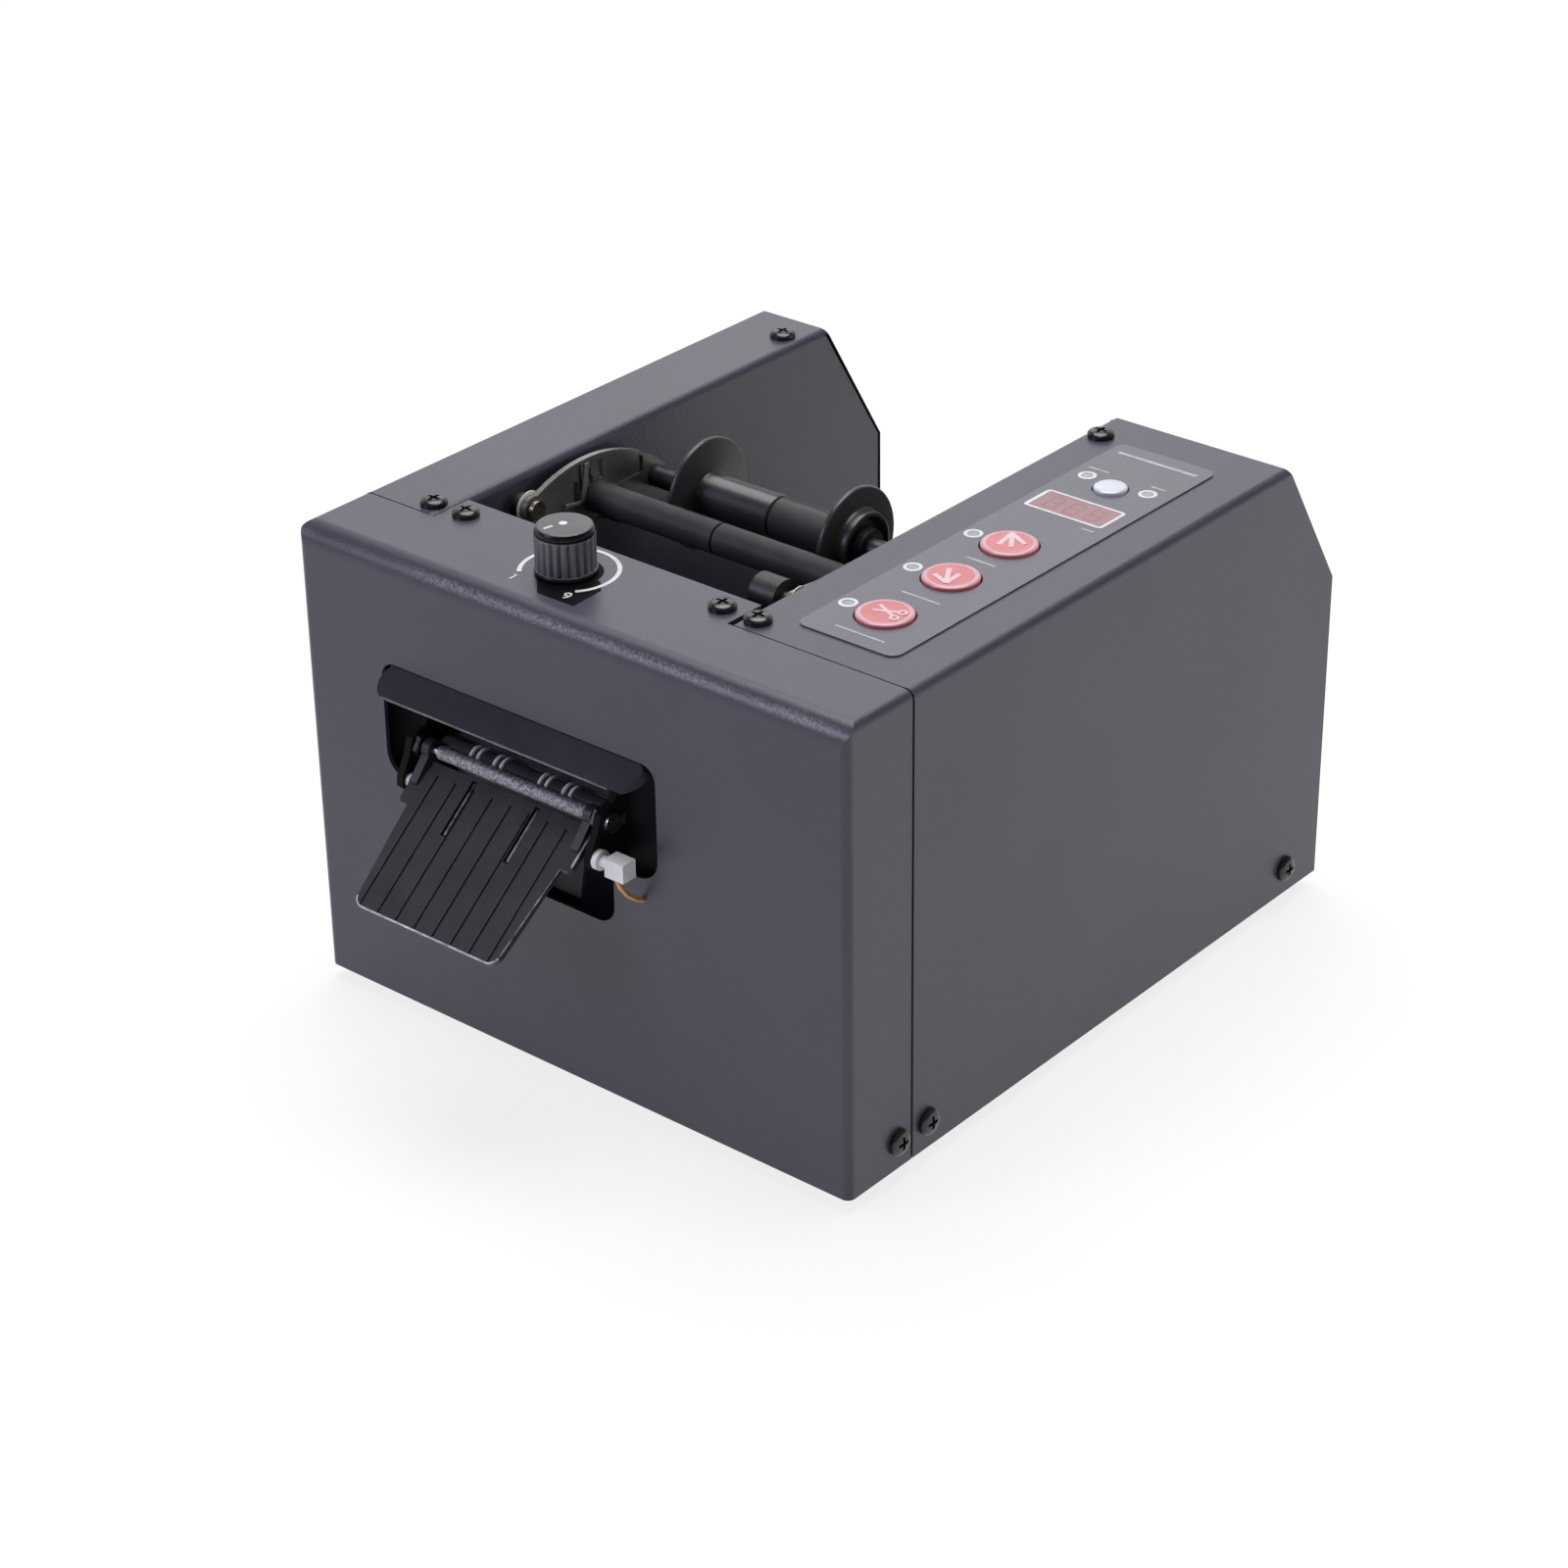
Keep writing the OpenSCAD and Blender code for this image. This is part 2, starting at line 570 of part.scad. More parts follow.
// Idle roller that presses the tape onto the drive roller
module pinch_roller() color([0.55, 0.55, 0.56]) at_origin() {
  x_bar(path_x - feed_half, 2 * feed_half, feed_y, pinch_z, pinch_r);
  x_bar(cheek_l - 1, 2 * cheek_half + 2, feed_y, pinch_z, 2);
}

// Bar between the cheeks that carries the fixed blade
module blade_bar() color([0.35, 0.35, 0.37]) at_origin()
  translate([cheek_l + cheek_t, fixed_y + blade_t, exit_z - 21]) cube([2 * cheek_half - 2 * cheek_t, 5, 7.5]);
module fixed_blade() color([0.7, 0.71, 0.73]) at_origin()
  side_view(path_x - blade_half - 3, 2 * blade_half + 6) polygon([[fixed_y, exit_z - 21],
    [fixed_y + blade_t, exit_z - 21], [fixed_y + blade_t, edge_z],
    [fixed_y, edge_z - 1.6]]);

// Moving blade with a slanted edge
module moving_blade() color([0.76, 0.77, 0.79]) at_origin()
  front_view(moving_y, blade_t) polygon([[path_x - blade_half, blade_rest], [path_x + blade_half, blade_rest + blade_shear],
    [path_x + blade_half, exit_z + 20], [path_x - blade_half, exit_z + 20]]);

// Plate that holds the moving blade, with the slotted yoke outside the right cheek
module blade_carrier() color([0.42, 0.42, 0.44]) at_origin() {
  py = moving_y + blade_t;
  translate([cheek_l + cheek_t + 0.8, py, exit_z + 12.5]) cube([2 * cheek_half - 2 * cheek_t - 1.6, 3, 14.5]);
  translate([cheek_r - cheek_t - 3, py, yoke_z - 5]) cube([yoke_x - cheek_r + cheek_t + 3.1, 3, 9]);
  difference() {
    translate([yoke_x, crank_y - crank_throw - 5, yoke_z - 5]) cube([yoke_t, 13, 10]);
    side_view(yoke_x - 1, yoke_t + 2) {
      soft_rect(crank_y - crank_throw - crank_pin_r - pass_gap, yoke_z - crank_pin_r - pass_gap,
        crank_y - crank_throw * cos(crank_swing) + crank_pin_r + pass_gap, yoke_z + crank_pin_r + pass_gap,
        crank_pin_r + pass_gap - 0.05);
    }
  }
}

// Grooved blocks on the cheeks that guide the carrier
module guide_block(x0) {
  py = moving_y + blade_t;
  difference() {
    translate([x0, py - 1.9, exit_z + 3.5]) cube([4.2, 6.2, 19]);
    translate([x0 - 5, py - pass_gap, exit_z - 1]) cube([14, 3 + 2 * pass_gap, 30]);
  }
}
module left_guide() color([0.85, 0.84, 0.8]) at_origin() {
  guide_block(cheek_l + cheek_t);
  translate([cheek_l + cheek_t, moving_y + blade_t - 1.9, exit_z + 1.5]) cube([4.2, 6.2, 2]);
}
module right_guide() color([0.85, 0.84, 0.8]) at_origin() {
  guide_block(cheek_r - cheek_t - 4.2);
  translate([cheek_r - cheek_t - 4.2, moving_y + blade_t - 1.9, exit_z + 1.5]) cube([4.2, 6.2, 2]);
}

// Lever on the cutter motor shaft with the pin that works the yoke
module cutter_crank() color([0.6, 0.6, 0.62]) at_origin() translate([0, crank_y, crank_z]) rotate([-crank_swing, 0, 0]) {
  ax = yoke_x + yoke_t + 0.6;
  difference() {
    union() {
      x_bar(ax, 4, 0, 0, 5.5);
      x_bar(ax, 4, -crank_throw, 0, 4);
      translate([ax, -crank_throw, -3.5]) cube([4, crank_throw, 7]);
    }
    x_bar(ax - 1, 2, 0, 0, 1.2);
  }
  x_bar(yoke_x + 0.5, ax - yoke_x, -crank_throw, 0, crank_pin_r);
  x_bar(ax + 3, motor_x + 8 - ax - 3, 0, 0, 3);
}

// Upright plate that carries both motors
module motor_plate() color([0.3, 0.3, 0.32]) at_origin() difference() {
  translate([plate_x, foot_y, floor_top]) cube([plate_t, well_front - 1.7 - foot_y, exit_z + 31 - floor_top]);
  x_bar(plate_x - 1, plate_t + 2, crank_y, crank_z, 5);
  x_bar(plate_x - 1, plate_t + 2, feed_motor_y, feed_motor_z, 5);
  x_bar(plate_x - 1, plate_t + 2, 19, exit_z - 55, 9);
}

// Gear motor lying along x with a blind hole for its shaft
module motor(y, z, hole_r) {
  difference() {
    union() {
      x_bar(motor_x, motor_len * 0.42, y, z, motor_r);
      x_bar(motor_x + motor_len * 0.42, motor_len * 0.5, y, z, motor_r - 1);
      x_bar(motor_x + motor_len * 0.92, motor_len * 0.08, y, z, 4);
    }
    x_bar(motor_x - 1, 10, y, z, hole_r);
  }
}
module cutter_motor() color([0.5, 0.5, 0.52]) at_origin() motor(crank_y, crank_z, 3 + run_fit);
module feed_motor() color([0.5, 0.5, 0.52]) at_origin() motor(feed_motor_y, feed_motor_z, 2.5 + run_fit);
module motor_pinion() color([0.78, 0.68, 0.4]) at_origin() translate([gear_x, feed_motor_y, feed_motor_z]) {
  rotate([-mesh_turn, 0, 0]) rotate([0, 90, 0])
    rotate(180 / pinion_teeth) spur(pinion_teeth, gear_t, 1);
  x_bar(0.5, motor_x + 8 - gear_x - 0.5, 0, 0, 2.5);
}

// Light barrier across the tray: a lens on the left cheek, a holder with a plug on the right cheek
module sensor_emitter() color([0.92, 0.92, 0.92]) at_origin() {
  x_bar(cheek_l + cheek_t, 1.1, sensor_y, sensor_z, 1.8);
  x_bar(cheek_l, cheek_t + 0.5, sensor_y, sensor_z, 1.2);
}
module sensor_receiver() color([0.92, 0.92, 0.92]) at_origin() {
  x_bar(cheek_r, 1.6, sensor_y, sensor_z, 2.6);
  x_bar(cheek_r + 1, 4, sensor_y, sensor_z, 1.5);
  translate([cheek_r + 4.2, sensor_y - 2.3, sensor_z - 2.5]) cube([6, 4.6, 5]);
}

// Receiving chute on the exit shaft: two hubs, a grooved plate with ears, two slots
module tray() color([0.12, 0.12, 0.13]) at_origin() {
  translate([path_x, -3.5, exit_z - 2.5]) rotate([tray_slope, 0, 0]) difference() {
    translate([0, 0, -tray_t]) linear_extrude(tray_t) {
      polygon([[-ear_half, 0], [ear_half, 0], [ear_half, -11.5], [ear_half - 0.8, -12.7], [tray_half, -12.7],
        [tray_half - tray_taper, -tray_len + 3], [-tray_half + tray_taper, -tray_len + 3], [-tray_half, -12.7],
        [-ear_half + 0.8, -12.7], [-ear_half, -11.5]]);
      translate([-tray_half + tray_taper + 3, -tray_len]) square([2 * tray_half - 2 * tray_taper - 6, 5]);
      for (s = [-1, 1]) translate([s * (tray_half - tray_taper - 3), -tray_len + 3]) circle(3);
    }
    for (i = [-3.5 : 1 : 3.5]) translate([i * tray_half * 0.242 - groove_w / 2, -tray_len - 1, -0.4]) cube([groove_w, tray_len - 2, 2]);
    for (s = [-1, 1]) translate([s * tray_half * 0.414 - 0.85, -16.6, -tray_t - 1]) cube([1.7, 16, tray_t + 3]);
  }
  for (s = [-1, 1]) difference() {
    side_view(path_x + s * hub_x - 1.2, 2.4) {
      translate([exit_y, exit_z]) circle(2.6);
      polygon([[exit_y - 0.6, exit_z - 2.5], [exit_y + 0.8, exit_z - 2.4], [exit_y + 0.8, exit_z - 4],
        [-9, exit_z - 7.6], [-9.5, exit_z - 6.4], [exit_y - 2.4, exit_z - 0.8]]);
    }
    x_bar(path_x + s * hub_x - 3, 6, exit_y, exit_z, exit_shaft_r + run_fit);
  }
}

// Side view of a carrier arm: a crescent from the pivot eye over the guide roller to the spool hook
module arm_shape() {
  translate([pivot_y, pivot_z]) circle(3.6);
  intersection() {
    translate([arc_y, arc_z]) circle(arc_r);
    polygon([[pivot_y - 3, pivot_z + 9], [pivot_y - 3, pivot_z - 1.8], [pivot_y + 4, pivot_z - 6.3],
      [guide_y - 9, guide_z - 1.4], [guide_y - 5, guide_z - 6.2],
      [guide_y + 6, guide_z - 6.2], [spool_y - 9, spool_z - 4.4], [spool_y - 5, spool_z - 7.4],
      [spool_y + 4, spool_z - 7.4], [spool_y + 8, spool_z - 4], [spool_y + 11, spool_z + 3],
      [spool_y + 11, spool_z + 16]]);
  }
}

// Holes for the pivot and the guide rod, and the snap-in seat of the spool
module arm_holes(x0) {
  x_bar(x0 - 1, arm_t + 2, pivot_y, pivot_z, pin_r + run_fit);
  x_bar(x0 - 1, arm_t + 2, guide_y, guide_z, 2);
  x_bar(x0 - 1, arm_t + 2, spool_y, spool_z, 3 + run_fit);
  translate([x0 - 1, spool_y, spool_z]) rotate([-12, 0, 0]) translate([0, 0, -2.5]) cube([arm_t + 2, 16, 5]);
}

// Left carrier arm: a plate with a thin rim and a rib on the face that looks into the well, and three slots
module left_arm() color([0.3, 0.3, 0.29]) at_origin() difference() {
  x0 = path_x - arm_out;
  side_view(x0, arm_t) arm_shape();
  side_view(x0 + arm_web, arm_t) difference() {
    intersection() {
      translate([arc_y, arc_z]) circle(arc_r - 1);
      translate([pivot_y + 4.2, pivot_z - 4.8]) square([spool_y - pivot_y - 9, 20]);
    }
    translate([guide_y - 5, guide_z - 8]) square([2, 40]);
    translate([guide_y, guide_z]) circle(6);
    translate([guide_y - 12, guide_z - 9]) square([40, 9.2]);
  }
  translate([x0 - 1, guide_y - 7.4, guide_z - 0.6]) cube([arm_t + 2, 1.5, 6.6]);
  translate([x0 - 1, guide_y - 2.1, guide_z + 3.4]) cube([arm_t + 2, 1.4, 4.6]);
  translate([x0 - 1, guide_y + 2.3, guide_z + 4]) cube([arm_t + 2, 1.3, 5.4]);
  arm_holes(x0);
}

// Right carrier arm: a low plate that stays under the edge of the case
module right_arm() color([0.3, 0.3, 0.29]) at_origin() difference() {
  side_view(path_x + arm_in, arm_t) intersection() {
    arm_shape();
    polygon([[pivot_y - 8, pivot_z + 3.9], [guide_y, guide_z + 5.6], [spool_y, spool_z + 5.5], [spool_y + 12, spool_z + 3],
      [spool_y + 12, spool_z - 12], [pivot_y - 8, pivot_z - 12]]);
  }
  arm_holes(path_x + arm_in);
}

// Brass shoulder bolts the carrier swings on, with a washer against each wall
module pivot_bolts() color([0.72, 0.58, 0.36]) at_origin() {
  wall = well_half + seam_gap / 2;
  x_bar(path_x - wall, wall - arm_out - pass_gap, pivot_y, pivot_z, 3.2);
  x_bar(path_x - wall, wall - arm_in + 0.8, pivot_y, pivot_z, pin_r);
  x_bar(path_x - arm_in + pass_gap, 1.2, pivot_y, pivot_z, 2.6);
  x_bar(path_x + arm_out + pass_gap, wall - arm_out - pass_gap, pivot_y, pivot_z, 3.2);
  x_bar(path_x + arm_in - 2.6, wall - arm_in + 2.6, pivot_y, pivot_z, pin_r);
}
module pivot_collar() color([0.3, 0.3, 0.3]) at_origin()
  x_bar(path_x + arm_in - 10.4, 7.8, pivot_y, pivot_z, 5);

// Pins on the walls that the arms rest above
module arm_stops() color([0.5, 0.5, 0.5]) at_origin() {
  wall = well_half + seam_gap / 2;
  x_bar(path_x - wall, wall - arm_in, guide_y + 11, guide_z - 9.6, 2.5);
  x_bar(path_x + arm_in, wall - arm_in, guide_y + 11, guide_z - 9.6, 2.5);
}

// Rod between the arms and the two sleeves that turn on it
module guide_shaft() color([0.6, 0.6, 0.62]) at_origin() {
  x_bar(path_x - arm_in, 2 * arm_in, guide_y, guide_z, 2.5);
  x_bar(path_x - arm_out, 2 * arm_out, guide_y, guide_z, 2);
}
module guide_sleeves() color([0.16, 0.16, 0.17]) at_origin() difference() {
  union() {
    x_bar(path_x - arm_in + pass_gap, arm_in - pass_gap - 0.4, guide_y, guide_z, guide_r);
    x_bar(path_x + 0.4, arm_in - pass_gap - 0.4, guide_y, guide_z, guide_r);
    x_bar(path_x - 1, 2, guide_y, guide_z, guide_r - 0.6);
  }
  x_bar(path_x - arm_out, 2 * arm_out, guide_y, guide_z, 2.5 + run_fit);
}

// Half of the spool: hub, flange and core up to the middle
module spool_half(s) {
  difference() {
    translate([path_x, spool_y, spool_z]) rotate([0, s * 90, 0]) {
      translate([0, 0, 0.4]) cylinder(h = flange_half, r = core_r);
      cylinder(h = flange_half, r = core_r - 0.6);
      translate([0, 0, flange_half]) cylinder(h = 1.8, r = flange_r);
      translate([0, 0, flange_half + 1.8]) cylinder(h = 3.2, r = 9.4);
    }
    x_bar(path_x - well_half, 2 * well_half, spool_y, spool_z, 3);
  }
}
module spool_left() color([0.14, 0.14, 0.15]) at_origin() spool_half(-1);
module spool_right() color([0.14, 0.14, 0.15]) at_origin() spool_half(1);
module spool_axle() color([0.7, 0.7, 0.72]) at_origin() {
  x_bar(path_x - arm_out + 0.2, 2 * arm_out - 0.4, spool_y, spool_z, 3);
  for (s = [-1, 1]) translate([path_x, spool_y, spool_z]) rotate([0, s * 90, 0])
    translate([0, 0, flange_half + 5]) cylinder(h = 1.4, r = 5);
}

// Film on the right arm with windows for the keys, the lamps and the display
module key_film() color([0.2, 0.21, 0.24]) at_origin() difference() {
  translate([0, 0, body_h]) linear_extrude(film_t) soft_rect(film_x0, film_y0, film_x1, film_y1, 3);
  for (y = key_ys) translate([key_x, y, body_h - 1]) cylinder(h = 3, r = key_r + pass_gap);
  translate([key_x, set_y, body_h - 1]) cylinder(h = 3, r = set_key_r + pass_gap);
  for (p = lamp_pts) translate([p[0], p[1], body_h - 1]) cylinder(h = 3, r = lamp_r);
  translate([disp_x0, disp_y0, body_h - 1]) cube([disp_x1 - disp_x0, disp_y1 - disp_y0, 3]);
}

// Key with a retaining rim under the cover and a stem over its switch
module key(y, r) {
  translate([key_x, y, 0]) {
    translate([0, 0, top_in - 0.8]) cylinder(h = sheet + 0.8 + film_t + 0.5, r = r);
    translate([0, 0, body_h + film_t + 0.5]) cylinder(h = 0.5, r1 = r, r2 = r - 1);
    translate([0, 0, top_in - 1.9]) cylinder(h = 1.1, r = r + 0.8);
    translate([0, 0, board_top + 4.5 + key_travel + pass_gap]) cylinder(h = top_in - 1.5 - board_top - 4.5 - key_travel - pass_gap, r = 2);
  }
}
module feed_key() color([0.85, 0.25, 0.27]) at_origin() key(key_ys[2], key_r);
module reverse_key() color([0.85, 0.25, 0.27]) at_origin() key(key_ys[1], key_r);
module cut_key() color([0.85, 0.25, 0.27]) at_origin() key(key_ys[0], key_r);
module set_key() color([0.85, 0.87, 0.9]) at_origin() key(set_y, set_key_r);

// Light pipes beside the keys
module lamps() color([0.9, 0.9, 0.92]) at_origin() for (p = lamp_pts) translate([p[0], p[1], 0]) {
  translate([0, 0, top_in]) cylinder(h = sheet + film_t, r = lamp_r);
  translate([0, 0, board_top]) cylinder(h = top_in - board_top, r = 1.9);
}

// Three digit display standing on the board, its window flush with the film
module display() color([0.45, 0.1, 0.12]) at_origin() {
  translate([disp_x0 - 1, disp_y0 - 1.6, board_top]) cube([disp_x1 - disp_x0 + 2, disp_y1 - disp_y0 + 3.2, top_in - board_top]);
  translate([disp_x0, disp_y0, top_in - 0.5]) cube([disp_x1 - disp_x0, disp_y1 - disp_y0, sheet + film_t + 0.5]);
}

// Board under the right arm top with its stand-offs and the four key switches
module control_board() color([0.1, 0.32, 0.2]) at_origin() {
  translate([right_x + 6, 41, board_top - board_t]) cube([right_arm_w - 12.1, body_len - 82, board_t]);
  for (x = [right_x + 9.5, body_w - 9.6], y = [44.5, body_len - 44.5]) translate([x, y, board_top]) cylinder(h = top_in - board_top, r = 2.5);
  for (y = [key_ys[0], key_ys[1], key_ys[2], set_y]) translate([key_x, y, board_top]) {
    translate([-3, -3, 0]) cube([6, 6, 3.4]);
    cylinder(h = 4.5, r = 1.7);
  }
}

// Fluted knob with a thin skirt, a bevelled top and its shaft
module speed_knob() color([0.15, 0.15, 0.16]) at_origin() translate([knob_x, knob_y, body_h + 0.5]) {
  cylinder(h = 0.9, r = knob_low_r);
  translate([0, 0, 0.8]) linear_extrude(knob_h - 2.6) difference() {
    circle(knob_top_r);
    for (i = [0 : knob_flutes - 1]) rotate(i * 360 / knob_flutes) translate([knob_top_r + 0.4, 0]) circle(0.8);
  }
  translate([0, 0, knob_h - 1.8]) cylinder(h = 0.6, r = knob_top_r);
  translate([0, 0, knob_h - 1.2]) cylinder(h = 1.2, r1 = knob_top_r, r2 = knob_top_r - 0.6);
  translate([0, 0, -7]) cylinder(h = 8, r = 3);
}

// Rotary control under the top of the case, its threaded neck through the panel
module speed_pot() color([0.35, 0.35, 0.33]) at_origin() translate([knob_x, knob_y, 0]) difference() {
  union() {
    translate([0, 0, top_in - 9.4]) cylinder(h = 9.4, r = 8.4);
    translate([0, 0, top_in - 1]) cylinder(h = sheet + 1.1, r = 3.6);
    translate([-4.5, -15, top_in - 9.4]) cube([9, 8, 1.6]);
  }
  translate([0, 0, top_in - 8]) cylinder(h = 12, r = 3 + run_fit);
}

// Frame of the power switch in the rear of the right arm
module rocker_frame() color([0.1, 0.1, 0.1]) at_origin() difference() {
  union() {
    translate([socket_x - 7.5, body_len, rocker_z - 10.5]) cube([15, 1.4, 21]);
    translate([socket_x - 6.4, body_len - 13, rocker_z - 9.6]) cube([12.8, 13.5, 19.2]);
  }
  translate([socket_x - 5.2, body_len - 8, rocker_z - 8.6]) cube([10.4, 12, 17.2]);
  x_bar(socket_x - 6, 12, body_len - 2, rocker_z, 1.2 + run_fit);
}

// Rocker of the power switch on its cross pin
module rocker() color([0.75, 0.12, 0.12]) at_origin() {
  translate([0, body_len - 2, rocker_z]) rotate([-rocker_lean, 0, 0]) {
    side_view(socket_x - 4.8, 9.6) polygon([[-2.6, -5], [2.6, -7.9], [4.2, -7.6], [3.4, 0], [4.2, 7.6], [2.6, 7.9], [-2.6, 5]]);
    x_bar(socket_x - 5.9, 11.8, 0, 0, 1.2);
  }
}

// Barrel inlet for the power lead
module power_inlet() color([0.1, 0.1, 0.1]) at_origin() translate([socket_x, body_len, inlet_z]) rotate([-90, 0, 0]) {
  difference() {
    union() {
      cylinder(h = 1.5, r = 6);
      translate([0, 0, -12]) cylinder(h = 12, r = 4);
    }
    translate([0, 0, -9]) cylinder(h = 12, r = 2.8);
  }
  translate([0, 0, -9.5]) cylinder(h = 9, r = 1);
}

base_plate();
foot_front_left();
foot_front_right();
foot_rear_left();
foot_rear_right();
front_cover();
left_cover();
right_cover();
left_rear_panel();
right_rear_panel();
well_panel();
mouth_hood();
left_cheek();
right_cheek();
tray_stay();
exit_shaft();
exit_roller();
ring_roller();
roller_rings();
feed_roller();
feed_shaft();
feed_gear();
pinch_roller();
blade_bar();
fixed_blade();
moving_blade();
blade_carrier();
left_guide();
right_guide();
cutter_crank();
motor_plate();
cutter_motor();
feed_motor();
motor_pinion();
sensor_emitter();
sensor_receiver();
tray();
left_arm();
right_arm();
pivot_bolts();
pivot_collar();
arm_stops();
guide_shaft();
guide_sleeves();
spool_left();
spool_right();
spool_axle();
key_film();
feed_key();
reverse_key();
cut_key();
set_key();
lamps();
display();
control_board();
speed_knob();
speed_pot();
rocker_frame();
rocker();
power_inlet();
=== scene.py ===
import bpy
import bmesh
import math
from functools import partial
from mathutils import Matrix, Vector


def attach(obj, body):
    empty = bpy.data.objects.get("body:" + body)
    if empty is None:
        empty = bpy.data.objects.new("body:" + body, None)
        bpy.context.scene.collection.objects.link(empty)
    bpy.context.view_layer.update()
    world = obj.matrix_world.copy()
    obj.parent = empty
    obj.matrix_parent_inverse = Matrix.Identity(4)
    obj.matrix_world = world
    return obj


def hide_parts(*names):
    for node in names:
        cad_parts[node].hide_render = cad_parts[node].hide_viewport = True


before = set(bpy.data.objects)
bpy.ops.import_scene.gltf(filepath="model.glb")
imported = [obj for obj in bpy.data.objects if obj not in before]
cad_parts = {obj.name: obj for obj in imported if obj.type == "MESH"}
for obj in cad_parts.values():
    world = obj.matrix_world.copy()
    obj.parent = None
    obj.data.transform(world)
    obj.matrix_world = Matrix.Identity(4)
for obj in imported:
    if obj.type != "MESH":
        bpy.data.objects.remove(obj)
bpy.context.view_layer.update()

# The machine stands on a pale desk top in an evenly lit studio, seen from its front right corner
# and from above. Drawing millimetres, counted from the case's front left lower corner, become
# metres around the middle of the machine by way of spot().
middle_x, middle_y, foot_high = 88.75, 85.815, 4


def spot(x, y, z):
    return Vector(((x - middle_x) / 1000, (y - middle_y) / 1000, (z + foot_high) / 1000))


def linked(obj):
    """Puts an object into the scene."""
    bpy.context.scene.collection.objects.link(obj)
    return obj


def reckoned(tree, kind, a, b=None):
    """A sum inside a node tree, on sockets or plain numbers."""
    node = tree.nodes.new("ShaderNodeMath")
    node.operation = kind
    for number, value in enumerate((a, b)):
        if isinstance(value, (int, float)):
            node.inputs[number].default_value = value
        elif value is not None:
            tree.links.new(value, node.inputs[number])
    return node.outputs[0]


def ranged(tree, value, least, most, low=0.0, high=1.0, smooth=False):
    """A socket's value carried from one range over to another."""
    node = tree.nodes.new("ShaderNodeMapRange")
    if smooth:
        node.interpolation_type = "SMOOTHSTEP"
    for label, number in (("From Min", least), ("From Max", most), ("To Min", low), ("To Max", high)):
        node.inputs[label].default_value = number
    tree.links.new(value, node.inputs["Value"])
    return node.outputs["Result"]


def viewed(tree):
    """One for what is looked at, straight, in gloss or through glass, and nought for what only lights."""
    path = tree.nodes.new("ShaderNodeLightPath")
    shown = reckoned(tree, "MAXIMUM", path.outputs["Is Camera Ray"], path.outputs["Is Glossy Ray"])
    return reckoned(tree, "MAXIMUM", shown, path.outputs["Is Transmission Ray"])


def mixed(tree, share, base, glow, out):
    """Lays one shader over another by a share, and ends the tree with the two."""
    node = tree.nodes.new("ShaderNodeMixShader")
    for number, socket in enumerate((share, base.outputs[0], glow.outputs[0])):
        tree.links.new(socket, node.inputs[number])
    tree.links.new(node.outputs[0], out.inputs["Surface"])


scene = bpy.context.scene
scene.view_settings.view_transform = "Standard"

lens_data = bpy.data.cameras.new("studio_camera")
lens_data.sensor_width = 36
lens_data.lens = 88.98
lens_data.clip_start = 0.05
lens_data.clip_end = 30
studio_camera = linked(bpy.data.objects.new("studio_camera", lens_data))
to_right = Vector((0.76817351, 0.64012681, -0.012129))
to_below = Vector((0.30123257, -0.37807595, -0.87539563))
to_front = Vector((-0.5649499, 0.66880209, -0.48325498))
pose = Matrix((to_right, -to_below, -to_front)).transposed().to_4x4()
pose.translation = spot(662.16, -595.95, 539.42)
studio_camera.matrix_world = pose
scene.camera = studio_camera

studio_air = bpy.data.worlds.new("studio_air")
studio_air.use_nodes = True
air = studio_air.node_tree
air.nodes.clear()
air_out = air.nodes.new("ShaderNodeOutputWorld")
air_lit = air.nodes.new("ShaderNodeBackground")
air_lit.inputs["Color"].default_value = (0.97, 0.98, 1.0, 1)
air_lit.inputs["Strength"].default_value = 0.14
air_seen = air.nodes.new("ShaderNodeBackground")
air_where = air.nodes.new("ShaderNodeTexCoord")
air_split = air.nodes.new("ShaderNodeSeparateXYZ")
air_side = air.nodes.new("ShaderNodeVectorMath")
air_side.operation = "DOT_PRODUCT"
air_side.inputs[1].default_value = (-0.707, 0.707, 0)
air.links.new(air_where.outputs["Generated"], air_split.inputs[0])
air.links.new(air_where.outputs["Generated"], air_side.inputs[0])
air_rise = ranged(air, air_split.outputs["Z"], 0.52, 0.66, 1.0, 0.12, smooth=True)
air_flag = ranged(air, air_side.outputs["Value"], 0.3, 0.7, 0.1, 1.0, smooth=True)
air_low = ranged(air, air_split.outputs["Z"], 0.02, 0.14, 1.0, 0.0)
air_part = reckoned(air, "MAXIMUM", reckoned(air, "MULTIPLY", air_rise, air_flag), air_low)
air_path = air.nodes.new("ShaderNodeLightPath")
air_white = reckoned(air, "MAXIMUM", air_part, air_path.outputs["Is Camera Ray"])
air.links.new(air_white, air_seen.inputs["Strength"])
mixed(air, viewed(air), air_lit, air_seen, air_out)
scene.world = studio_air


def soft_box(name, place, target, size, power, tint=(1, 1, 1)):
    """A round soft lamp, aimed at a point."""
    data = bpy.data.lights.new(name, "AREA")
    data.color = tint
    data.shape = "DISK"
    data.size = size
    data.energy = power
    lamp = linked(bpy.data.objects.new(name, data))
    aim = (Vector(target) - Vector(place)).to_track_quat("-Z", "Y")
    lamp.matrix_world = Matrix.Translation(place) @ aim.to_matrix().to_4x4()
    return lamp


soft_box("overhead_box", (-0.25, 0.35, 1.7), (0, 0, 0.1), 1.5, 36)
right_box = soft_box("right_box", (1.45, 1.0, 0.62), (0, 0, 0.08), 0.8, 10)
right_box.visible_glossy = False
soft_box("left_box", (-0.8, -1.5, 1.0), (0, -0.05, 0.08), 0.9, 14.0, (0.78, 0.765, 1.0))
soft_box("rear_box", (-1.24, 1.47, 1.2), (0, 0.05, 0.12), 1.3, 3.7)

